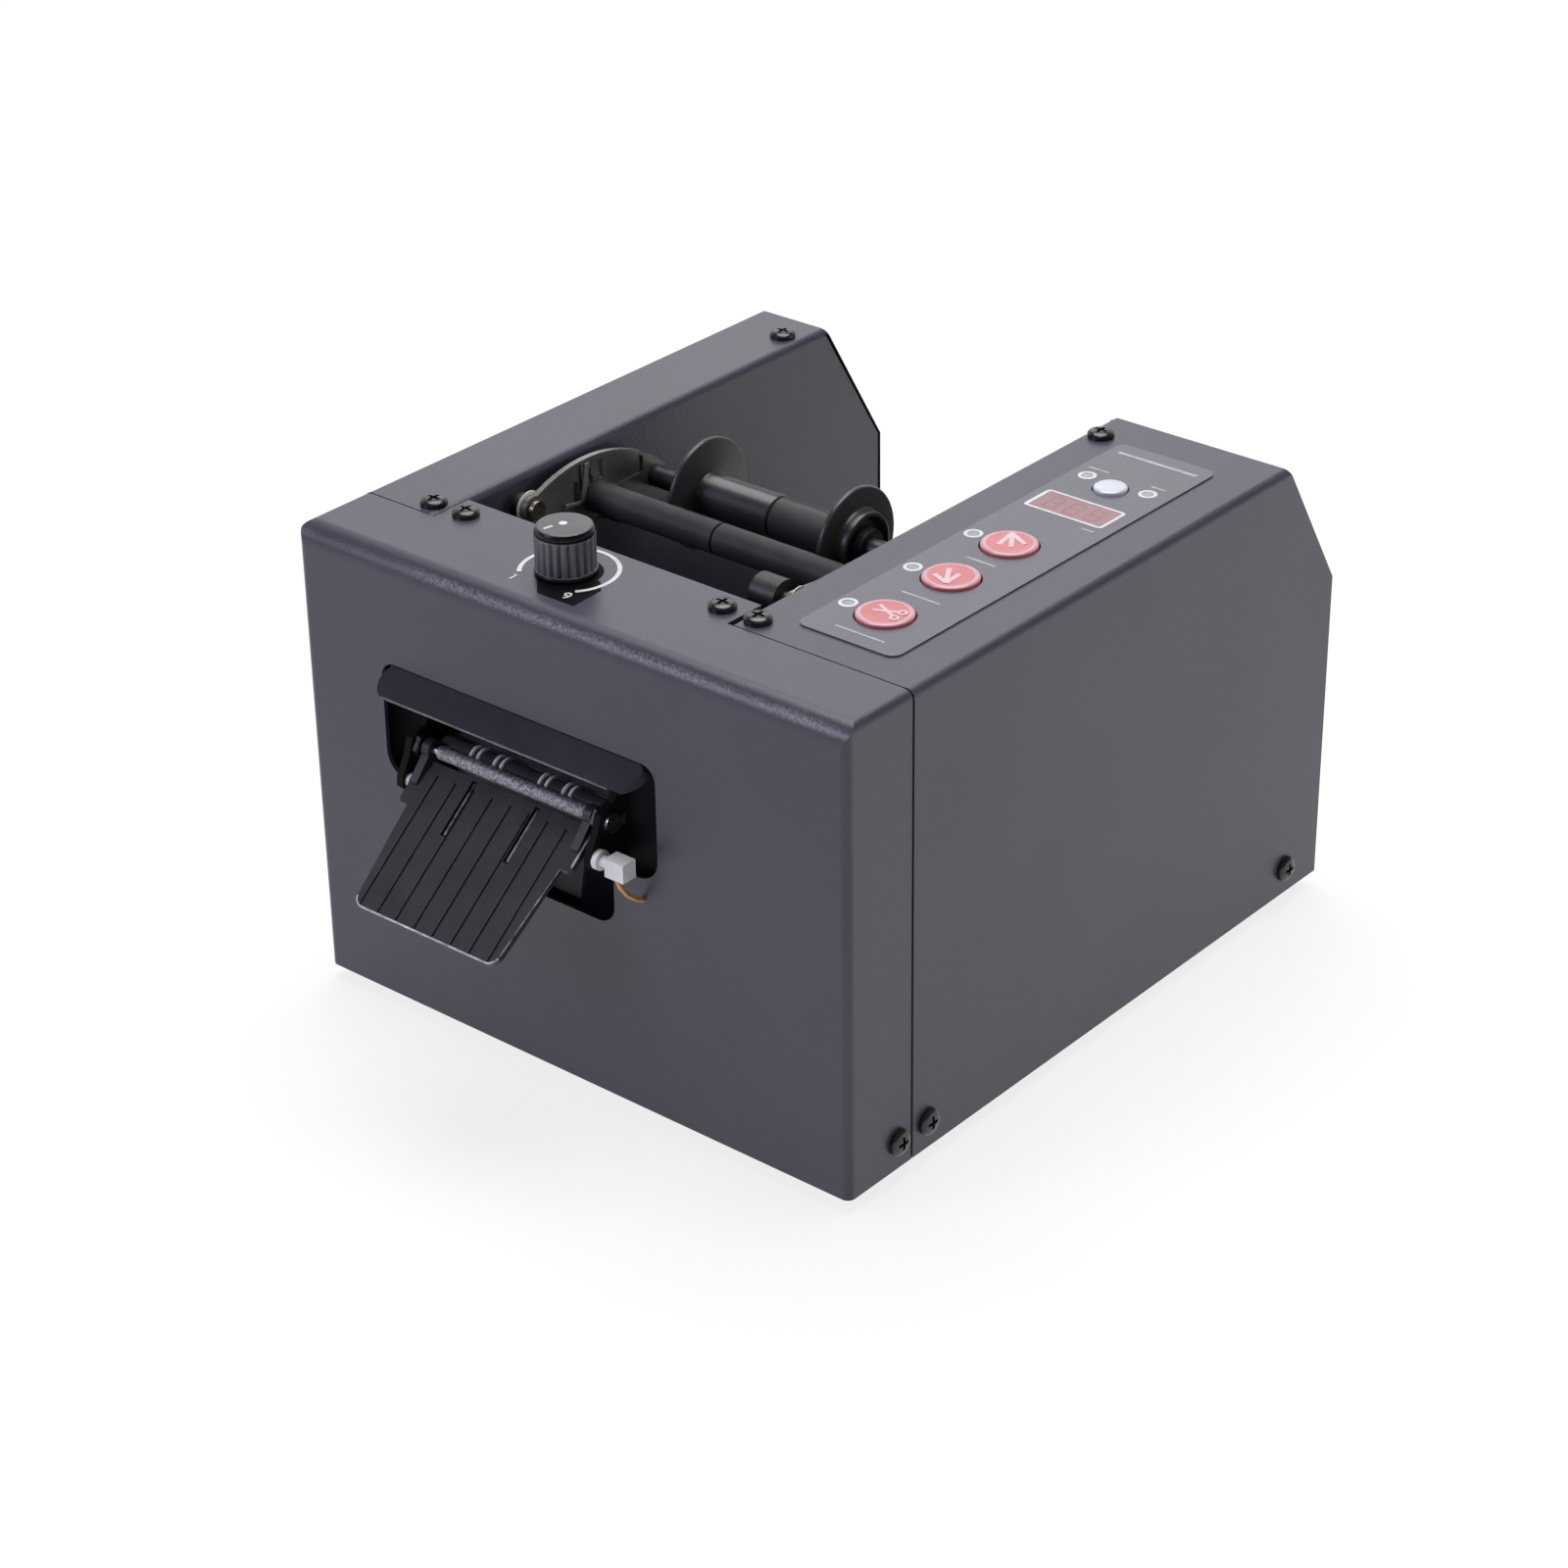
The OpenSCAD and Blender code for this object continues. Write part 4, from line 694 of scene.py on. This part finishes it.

# A bead along the hood's lower lip, lighter than the hood: a painted highlight on that lip.
lip_highlight_grey = finish(
    "lip_highlight_grey", (0.09, 0.09, 0.095), (0.15, 0.15, 0.155), patch=200, rough=(0.22, 0.34), grain=1500,
    relief=0.04
)
lip_left, lip_wide, lip_y, lip_z = 34.4, 74, -5.75, 92.6
lip_run = [spot(x, y, lip_z) for x, y in ((31.75, -2.8), (32.0, -4.3), (32.8, -5.4))]
lip_run += [spot(lip_left + lip_wide * i / 8, lip_y, lip_z) for i in range(9)]
hood_bead = rod("hood_bead", lip_run, 0.0003, lip_highlight_grey)
mounted(hood_bead, "case")

# Painted shade: thin black strips over the seams between the front cover and the arm covers, and
# along the rear edges of the arms' inner sides, where the sheet is left open; they darken those gaps.
seam_shade_black = finish(
    "seam_shade_black", (0.004, 0.004, 0.005), (0.008, 0.008, 0.009), patch=200, rough=(0.5, 0.65), grain=1600,
    relief=0.05, specular=0.05
)
seam_middle, bend = 24.3, 2.2
slope_top, slope_foot, rear_edge = case_long - 23.7, case_top - 39, case_long - 0.4
bend_arc = arc(bend, case_top - bend, bend, range(180, 89, -15))
seam_run = [(0.2, 1.5), (0.2, 64)] + [(across + 0.2, high - 0.2) for across, high in bend_arc]
for name, edge, inward in (("left_seam", 0, 1), ("right_seam", case_wide, -1)):
    run = [spot(edge + inward * across, seam_middle, high) for across, high in seam_run]
    seam = rod(name, run, 0.00042, seam_shade_black)
    mounted(seam, "case")
open_edge = [
    (slope_top - 0.1, case_top - 1.2), (rear_edge, slope_foot - 0.2), (rear_edge, 66), (rear_edge, 4)
]
for name, face in (("left_edge", 24.3), ("right_edge", 121.6)):
    edge = rod(name, [spot(face, y, z) for y, z in open_edge], 0.00038, seam_shade_black)
    mounted(edge, "case")

# Liner: two bent sheets of black plastic behind the mouth, one beside each cheek, that keep dust
# and fingers out of the works. They are pressed in behind the front cover, clear of the cutter.
liner_plan = [(26.4, 1.5), (26.7, 3.2), (27.8, 4.9), (29.8, 6.1), (33.0, 6.7), (36.6, 6.9), (40.1, 6.9)]
liner_black = finish(
    "liner_black", (0.004, 0.004, 0.005), (0.008, 0.008, 0.009), patch=140, rough=(0.5, 0.6), grain=1500,
    relief=0.06, specular=0.05
)
liner_y, liner_heights = 1.5, (65.5, 98.2)
liner = bmesh.new()
for flip, deep in ((1, 1.0), (-1, 0.33)):
    walls = []
    for push in (0.0, 0.7):
        line = [(x + push * 0.2, liner_y + (y - liner_y) * deep + push) for x, y in liner_plan]
        line = [(path_x + flip * (x - path_x), y) for x, y in line]
        walls.append([[liner.verts.new(spot(x, y, z)) for x, y in line] for z in liner_heights])
    (near_low, near_high), (far_low, far_high) = walls
    around = (near_low, near_high, far_high, far_low)
    for i in range(len(liner_plan) - 1):
        for k in range(4):
            one, two = around[k], around[(k + 1) % 4]
            liner.faces.new((one[i], one[i + 1], two[i + 1], two[i])).smooth = True
    for i in (0, len(liner_plan) - 1):
        liner.faces.new((near_low[i], near_high[i], far_high[i], far_low[i]))
bmesh.ops.recalc_face_normals(liner, faces=liner.faces)
mouth_liner = made("mouth_liner", liner, liner_black)
mouth_liner.data.set_sharp_from_angle(angle=math.radians(35))
mounted(mouth_liner, "case")

# Light barrier across the chute: a white lens on the left cheek, and on the right a holder with a
# white plug, from which an orange lead runs back into the case.
plug_white = finish(
    "plug_white", (0.62, 0.62, 0.61), (0.74, 0.74, 0.73), patch=200, rough=(0.3, 0.42), grain=1500,
    relief=0.04
)
dress(plug_white, "sensor_emitter", "sensor_receiver")
lead_orange = finish(
    "lead_orange", (0.50, 0.22, 0.06), (0.62, 0.30, 0.09), patch=300, rough=(0.35, 0.5), grain=1500,
    relief=0.04
)
lead_line = [(111.2, -7, 71.4), (111.5, -7, 69.4), (112.1, -6.4, 67.0), (112.9, -4.8, 64.4)]
lead_line += [(113.4, -2.2, 62.2), (113.5, 1.2, 60.6), (113.2, 5.0, 59.6), (112.6, 9.0, 59.2)]
lead_run = [spot(*point) for point in lead_line]
sensor_lead = rod("sensor_lead", lead_run, 0.0006, lead_orange, sides=12)
mounted(sensor_lead, "case")

# Roll carrier: a crescent plate on the left and a low plate on the right swing on brass bolts,
# with a guide roller and the spool between them. The spool's halves are turned in black plastic.
arm_grey = finish(
    "arm_grey", (0.12, 0.12, 0.116), (0.20, 0.20, 0.19), patch=70, metallic=0.45, rough=(0.26, 0.40),
    grain=1200, relief=0.1
)
collar_grey = finish(
    "collar_grey", (0.020, 0.020, 0.020), (0.032, 0.032, 0.032), patch=150, metallic=0.3, rough=(0.35, 0.5),
    grain=1400, relief=0.06
)
dress(arm_grey, "left_arm", "right_arm")
dress(collar_grey, "pivot_collar", "arm_stops")
dress(turned_brass, "pivot_bolts")
dress(roller_black, "guide_sleeves")
dress(blued_steel, "guide_shaft", "spool_axle")

washer_shape = [
    (3.25, -3.1), (3.42, -3.1), (3.42, 0, 1), (4.45, 0, 1), (4.6, 0.06, 1), (4.6, 0.24, 1), (4.45, 0.3, 1),
    (2.1, 0.3, 1), (2.1, 0.02, 1), (3.25, 0.02), (3.25, -3.1)
]
# The washers' rims are pale and barely metallic: painted light on a crescent that lies in shade.
washer_painted_light = finish(
    "washer_painted_light", (0.76, 0.70, 0.61), (0.88, 0.82, 0.74), patch=260, metallic=0.25, rough=(0.25, 0.38),
    grain=2000, relief=0.05
)
pivot_y, pivot_z = 54.9, 121.2
for name, arm_face, inward in (("left_washer", 27.85, 1), ("right_washer", 118.05, -1)):
    place = spot(arm_face, pivot_y, pivot_z)
    washer = turned(name, washer_shape, 56, place, (inward, 0, 0), [collar_grey, washer_painted_light])
    mounted(washer, "case")

# A rib on the crescent plate, lighter than the plate: its colour paints the highlight along the rib.
rib_highlight_grey = finish(
    "rib_highlight_grey", (0.27, 0.27, 0.258), (0.42, 0.42, 0.40), patch=180, metallic=0.5, rough=(0.26, 0.4),
    grain=1400, relief=0.08
)
rib_form = bmesh.new()
rib_x, rib_thick = 29.8, 0.45
upright = [(72.1, 116.9), (73.9, 116.9), (75.7, 127.3), (74.0, 127.3)]
branch = [(66.2, 117.6), (72.1, 116.5), (72.1, 117.5), (66.2, 118.5)]
for run in (upright, branch):
    low = [rib_form.verts.new(spot(rib_x, y, z)) for y, z in run]
    high = [rib_form.verts.new(spot(rib_x + rib_thick, y, z)) for y, z in run]
    rib_form.faces.new(low)
    rib_form.faces.new(high)
    for i in range(4):
        j = (i + 1) % 4
        rib_form.faces.new((low[i], low[j], high[j], high[i]))
bmesh.ops.recalc_face_normals(rib_form, faces=rib_form.faces)
bmesh.ops.bevel(rib_form, geom=rib_form.edges[:], offset=0.00016, segments=2, affect="EDGES", profile=0.5)
arm_rib = made("arm_rib", rib_form, rib_highlight_grey)
mounted(arm_rib, "carrier")

spool_shape = [
    (3.0, 0.0), (5.0, 0.0), (5.3, 0.3), (5.7, 0.4), (5.9, 0.7), (5.9, 23.2), (6.3, 23.8), (7.2, 24.0)
]
spool_shape += [
    (14.6, 24.0), (15.05, 24.1), (15.32, 24.4), (15.4, 24.9), (15.32, 25.4), (15.05, 25.7), (14.6, 25.8)
]
spool_shape += [
    (10.6, 25.8), (9.9, 25.9), (9.55, 26.3), (9.4, 27.0), (9.4, 28.3), (9.2, 28.8), (8.7, 29.0),
    (8.2, 28.9), (7.8, 28.4), (7.4, 27.2), (7.0, 26.9), (5.4, 26.9), (5.2, 27.2), (5.2, 28.9), (5.0, 29.0),
    (3.0, 29.0), (3.0, 0.0)
]
spool_black = finish(
    "spool_black", (0.027, 0.027, 0.029), (0.034, 0.034, 0.037), patch=110, rough=(0.29, 0.33), grain=1600,
    relief=0.02, specular=0.42
)
spool_y, spool_z = 101.5, 114.3
for name, node, outward in (("left_spool", "spool_left", -1), ("right_spool", "spool_right", 1)):
    half = turned(name, spool_shape, 72, spot(path_x, spool_y, spool_z), (outward, 0, 0), [spool_black])
    mounted(half, "spool", node)


# Key film: a printed plastic overlay on the right arm, with windows for the keys, the lamps and the
# display. Rings around the lamps, the window's frame and plain rules are printed in pale grey.
def printed(name, shapes, low, high, mat):
    """Thin printed shapes in drawing millimetres: filled loops, or strips between two equal lines."""
    bm = bmesh.new()
    for number, shape in enumerate(shapes):
        top = high + 0.006 * (number % 4)
        if shape[0] == "fill":
            sides = [[bm.verts.new(spot(x, y, z)) for x, y in shape[1]] for z in (low, top)]
            bm.faces.new(sides[1])
            bm.faces.new(sides[0][::-1])
            for i in range(len(shape[1])):
                j = (i + 1) % len(shape[1])
                bm.faces.new((sides[0][i], sides[0][j], sides[1][j], sides[1][i]))
            continue
        loop = shape[0] == "ring"
        count = len(shape[1])
        corners = [
            [[bm.verts.new(spot(x, y, z)) for x, y in line] for z in (low, top)] for line in shape[1:]
        ]
        (a_low, a_high), (b_low, b_high) = corners
        for i in range(count if loop else count - 1):
            j = (i + 1) % count
            bm.faces.new((a_high[i], a_high[j], b_high[j], b_high[i]))
            bm.faces.new((b_low[i], b_low[j], a_low[j], a_low[i]))
            bm.faces.new((a_low[i], a_low[j], a_high[j], a_high[i]))
            bm.faces.new((b_high[i], b_high[j], b_low[j], b_low[i]))
        if not loop:
            for i in (0, count - 1):
                bm.faces.new((a_low[i], a_high[i], b_high[i], b_low[i]))
    bmesh.ops.recalc_face_normals(bm, faces=bm.faces)
    return made(name, bm, mat)


def stroke(points, wide):
    """A strip of even width along a line of points."""
    left, right = [], []
    for i, (x, y) in enumerate(points):
        back = points[max(i - 1, 0)]
        fore = points[min(i + 1, len(points) - 1)]
        run = Vector((fore[0] - back[0], fore[1] - back[1])).normalized() * wide / 2
        left.append((x - run.y, y + run.x))
        right.append((x + run.y, y - run.x))
    return ("strip", left, right)


def hoop(x, y, inner, outer, steps=40):
    """A ring around a point."""
    turns = [360 * i / steps for i in range(steps)]
    return ("ring", arc(x, y, inner, turns), arc(x, y, outer, turns))


def spot_disc(x, y, radius, steps=32):
    """A filled round mark."""
    return ("fill", arc(x, y, radius, [360 * i / steps for i in range(steps)]))


film_grey = finish(
    "film_grey", (0.091, 0.089, 0.110), (0.099, 0.097, 0.119), patch=26, rough=(0.26, 0.34), grain=3200,
    relief=0.02, specular=0.4
)
dress(film_grey, "key_film")
lamp_clear = finish(
    "lamp_clear", (0.2, 0.2, 0.22), (0.28, 0.28, 0.3), patch=300, rough=(0.1, 0.2), grain=1500, relief=0.02
)
dress(lamp_clear, "lamps")
print_white = finish(
    "print_white", (0.50, 0.50, 0.52), (0.58, 0.58, 0.60), patch=260, rough=(0.4, 0.55), grain=2200,
    relief=0.03
)
lamp_places = [(137.4, 99.3), (137.4, 75), (137.4, 50), (139.1, 144.9), (157.8, 145)]
film_top = 129.36
lamp_hoops = [hoop(x, y, 1.55, 2.45) for x, y in lamp_places]
lamp_rings = printed("lamp_rings", lamp_hoops, film_top, film_top + 0.1, print_white)
mounted(lamp_rings, "case")
print_grey = finish(
    "print_grey", (0.26, 0.26, 0.28), (0.36, 0.36, 0.38), patch=420, rough=(0.4, 0.55), grain=2200,
    relief=0.03
)
rules = [((144.2, 87.6), (153.0, 87.6)), ((143.6, 62.8), (155.2, 62.8)), ((142.6, 38.8), (157.4, 38.8))]
rules += [
    ((156.6, 118.2), (160.4, 118.2)), ((136.2, 149.6), (142.4, 149.6)), ((155.8, 149.4), (160.2, 149.4))
]
heading = ((137.0, 161.6), (161.4, 161.6))
rule_strokes = [stroke(rule, 0.75) for rule in rules] + [stroke(heading, 1.3)]
label_rules = printed("label_rules", rule_strokes, film_top, film_top + 0.08, print_grey)
mounted(label_rules, "case")

# Keys: three red caps with a paler rim and one silver cap, moulded with a stem that presses a small
# switch on the board. Plain signs are printed on the red ones.
key_red = finish(
    "key_red", (0.44, 0.105, 0.115), (0.50, 0.135, 0.145), patch=120, rough=(0.16, 0.24), grain=1500,
    relief=0.02
)
rim_pink = finish(
    "rim_pink", (0.46, 0.24, 0.275), (0.52, 0.29, 0.325), patch=160, rough=(0.14, 0.22), grain=1500,
    relief=0.02
)
key_silver = finish(
    "key_silver", (0.46, 0.47, 0.53), (0.54, 0.55, 0.61), patch=200, metallic=0.1, rough=(0.16, 0.26),
    grain=1500, relief=0.02
)
key_x = 148.6


def key_cap(name, y, radius, mats, body, node):
    """A round cap with a foot below the film and a rim in a finish of its own."""
    shape = [
        (0, 125.0), (2, 125.0), (2, 125.9), (radius + 0.8, 125.9), (radius + 0.8, 127.0), (radius, 127.0)
    ]
    shape += [
        (radius, 129.85), (radius - 0.08, 130.05, 1), (radius - 0.3, 130.25, 1), (radius - 0.7, 130.36, 1),
        (radius - 1.1, 130.36, 1), (radius - 1.45, 130.28), (radius - 1.7, 130.26)
    ]
    shape += [(radius * 0.35, 130.33), (0, 130.34)]
    cap = turned(name, shape, 64, spot(key_x, y, 0), (0, 0, 1), mats)
    mounted(cap, body, node)


key_cap("feed_cap", 99.2, 7.3, [key_red, rim_pink], "key_feed", "feed_key")
key_cap("reverse_cap", 75.7, 7.3, [key_red, rim_pink], "key_reverse", "reverse_key")
key_cap("cut_cap", 50.1, 7.3, [key_red, rim_pink], "key_cut", "cut_key")
key_cap("set_cap", 141.7, 4.4, [key_silver, key_silver], "key_set", "set_key")
sign_white = finish(
    "sign_white", (0.55, 0.38, 0.40), (0.60, 0.44, 0.46), patch=260, rough=(0.3, 0.42), grain=2200,
    relief=0.03
)
arrow_up = [stroke([(147.2, 96.5), (145.9, 104.1)], 1.3), stroke([(145.6, 103.9), (152.3, 100.6)], 1.3)]
arrow_up.append(stroke([(146.2, 103.4), (150.6, 97.2)], 1.2))
arrow_down = [stroke([(150.2, 71.6), (145.0, 73.7)], 1.3), stroke([(150.3, 71.3), (149.9, 77.4)], 1.3)]
arrow_down.append(stroke([(149.9, 72.1), (146.0, 78.4)], 1.2))
scissors = [stroke([(145.2, 52.4), (151.4, 49.4)], 0.9), stroke([(145.4, 49.2), (151.2, 51.8)], 0.9)]
scissors += [hoop(152.3, 48.9, 0.6, 1.3, 24), hoop(152.2, 52.3, 0.6, 1.3, 24)]
sign_low, sign_top = 130.24, 130.40
for key, shapes in (("feed", arrow_up), ("reverse", arrow_down), ("cut", scissors)):
    sign = printed(key + "_sign", shapes, sign_low, sign_top, sign_white)
    mounted(sign, "key_" + key)

# Display: a red tinted window in a pale printed frame, over three seven-bar digits that are off.
# It stands on the control board, which hangs from the cover on four posts.
window_red = finish(
    "window_red", (0.21, 0.09, 0.105), (0.24, 0.105, 0.12), patch=60, rough=(0.10, 0.18), grain=900,
    relief=0.01
)
board_green = finish(
    "board_green", (0.01, 0.07, 0.03), (0.02, 0.11, 0.05), patch=200, rough=(0.3, 0.45), grain=1500,
    relief=0.05
)
dress(window_red, "display")
dress(board_green, "control_board")


def round_corners(x0, y0, x1, y1, radius, steps=6):
    """A rectangle's outline with round corners."""
    outline = []
    left, right, low, high = x0 + radius, x1 - radius, y0 + radius, y1 - radius
    middles = ((right, high), (left, high), (left, low), (right, low))
    for quarter, (x, y) in enumerate(middles):
        outline += arc(x, y, radius, [90 * (quarter + i / steps) for i in range(steps + 1)])
    return outline


frame_inner = round_corners(137.5, 121.6, 159.7, 131.4, 0.5)
frame_outer = round_corners(136.4, 120.8, 160.6, 132.2, 1.2)
frame_ring = [("ring", frame_inner, frame_outer)]
window_frame = printed("window_frame", frame_ring, film_top, film_top + 0.12, print_white)
mounted(window_frame, "case")
dim_bar = finish(
    "dim_bar", (0.19, 0.078, 0.092), (0.22, 0.092, 0.106), patch=120, rough=(0.12, 0.2), grain=900,
    relief=0.01
)
bars, bar_wide = [], 0.55
for middle in (142.2, 148.5, 154.8):
    for level in (123.3, 126.5, 129.7):
        bars.append(stroke([(middle - 1.3, level), (middle + 1.3, level)], bar_wide))
    for side in (-1.75, 1.75):
        bars.append(stroke([(middle + side, 123.7), (middle + side, 126.1)], bar_wide))
        bars.append(stroke([(middle + side, 126.9), (middle + side, 129.3)], bar_wide))
digit_bars = printed("digit_bars", bars, film_top, film_top + 0.06, dim_bar)
mounted(digit_bars, "case")

# Speed knob: fluted black plastic pushed on the shaft of a rotary control under the panel, with a
# pale dot and a dash on its top. A scale with its end numbers and a dark patch are printed below it,
# and a dark disc around its foot is painted shadow.
knob_black = finish(
    "knob_black", (0.118, 0.118, 0.132), (0.146, 0.146, 0.161), patch=160, rough=(0.32, 0.42), grain=1500,
    relief=0.06, specular=0.35
)
dress(knob_black, "speed_pot")
knob_shape = [(0, -7), (3, -7), (3, 0), (7.6, 0), (7.9, 0.12), (7.9, 0.75), (7.75, 0.92)]
knob_shape += [(7.65, 1.0 + 0.92 * i) for i in range(11)]
knob_shape += [
    (7.5, 10.35), (7.35, 10.45), (7.5, 10.6), (7.5, 10.75), (7.2, 11.7), (7.0, 12.02), (6.75, 12.16),
    (6.4, 12.2), (0, 12.2)
]
fluted_knob = turned("fluted_knob", knob_shape, 176, (0, 0, 0), (0, 0, 1), [knob_black], crease=50)
flutes = {"Ridges": 22, "Lead": 0, "Depth": 0.0008, "Sharpness": 2.4, "Lowest": 0.00095, "Highest": 0.01005}
grown(fluted_knob, ridged("knob_flutes", knob_black), flutes)
knob_band = finish(
    "knob_band", (0.004, 0.004, 0.005), (0.008, 0.008, 0.010), patch=160, rough=(0.2, 0.28), grain=1500,
    relief=0.03, specular=0.22
)
knob_cap = finish(
    "knob_cap", (0.056, 0.056, 0.058), (0.072, 0.072, 0.075), patch=160, rough=(0.34, 0.46), grain=1500,
    relief=0.06, specular=0.45
)
fluted_knob.data.materials.append(knob_band)
fluted_knob.data.materials.append(knob_cap)
# The foot takes the near-black band finish as painted shade where the knob meets the panel.
foot_top, band_foot, cap_foot = 0.00095, 0.0101, 0.01205
for face in fluted_knob.data.polygons:
    if face.center.z > cap_foot:
        face.material_index = 2
    elif face.center.z > band_foot or face.center.z < foot_top:
        face.material_index = 1
fluted_knob.data.transform(Matrix.Translation(spot(72.2, 21.4, 129.5)))
mounted(fluted_knob, "knob", "speed_knob")
mark_shapes = [spot_disc(71.6, 21.6, 1.05), stroke([(70.6, 18.9), (70.2, 16.2)], 0.8)]
knob_marks = printed("knob_marks", mark_shapes, 141.66, 141.75, print_white)
mounted(knob_marks, "knob")
patch_black = finish(
    "patch_black", (0.003, 0.003, 0.0035), (0.006, 0.006, 0.007), patch=200, rough=(0.5, 0.65), grain=2200,
    relief=0.04, specular=0.04
)
patch_outline = [(68.1, 15.2), (74.8, 8.2), (86.6, 8.2), (86.1, 18.6), (82.9, 22.0), (76.0, 24.0)]
# The round dark disc, set a little right of the knob's axis, is the knob's painted shadow; the angled patch
# is print.
patch_shapes = [("fill", patch_outline), spot_disc(73.0, 21.6, 8.5)]
scale_patch = printed("scale_patch", patch_shapes, case_top - 0.04, case_top + 0.04, patch_black)
mounted(scale_patch, "case")
sweep = arc(72.3, 22.4, 12.3, range(-41, 224, 4))
one_mark = stroke([(63.4, 12.0), (64.2, 12.6), (64.2, 9.8)], 0.55)
nine_line = [
    (82.2, 11.4), (80.9, 11.4), (80.5, 12.1), (80.9, 12.8), (81.8, 12.8), (82.2, 12.1), (82.2, 10.9)
]
nine_mark = stroke(nine_line + [(81.5, 10.0)], 0.55)
scale_shapes = [stroke(sweep, 1.15), one_mark, nine_mark]
speed_scale = printed("speed_scale", scale_shapes, case_top - 0.03, case_top + 0.09, print_white)
mounted(speed_scale, "case")

# Power side at the rear of the right arm: a rocker switch snapped into a frame, with the usual bar
# and ring signs, and a barrel socket with a sprung steel pin.
dress(moulded_black, "rocker_frame", "power_inlet")
rocker_black = finish(
    "rocker_black", (0.012, 0.012, 0.013), (0.020, 0.020, 0.022), patch=160, rough=(0.2, 0.3), grain=1500,
    relief=0.04
)
dress(rocker_black, "rocker")
power_x = 149.4
power_shapes = [stroke([(power_x, 2.6), (power_x, 5.6)], 0.7), hoop(power_x, -4.2, 1.0, 1.6, 28)]
switch_signs = printed("switch_signs", power_shapes, 0, 0.1, print_white)
lean, rocker_y, rocker_z, rocker_face, rocker_half, rocker_dip = math.radians(-8), 202, 62, 3.4, 7.6, 0.8
for corner in switch_signs.data.vertices:
    up = corner.co.y * 1000 + middle_y
    lift = corner.co.z * 1000 - foot_high
    near = rocker_face + abs(up) * rocker_dip / rocker_half + lift - 0.04
    back = rocker_y + near * math.cos(lean) - up * math.sin(lean)
    high = rocker_z + near * math.sin(lean) + up * math.cos(lean)
    corner.co = Vector((corner.co.x, *spot(0, back, high).yz))
switch_signs.data.flip_normals()
mounted(switch_signs, "switch")
pin_shape = [(0, 0), (1.04, 0), (1.04, 9.0), (0.9, 9.3), (0.5, 9.5), (0, 9.55)]
socket_pin = turned("socket_pin", pin_shape, 24, spot(power_x, 194.5, 34), (0, 1, 0), [ground_steel])
mounted(socket_pin, "case")
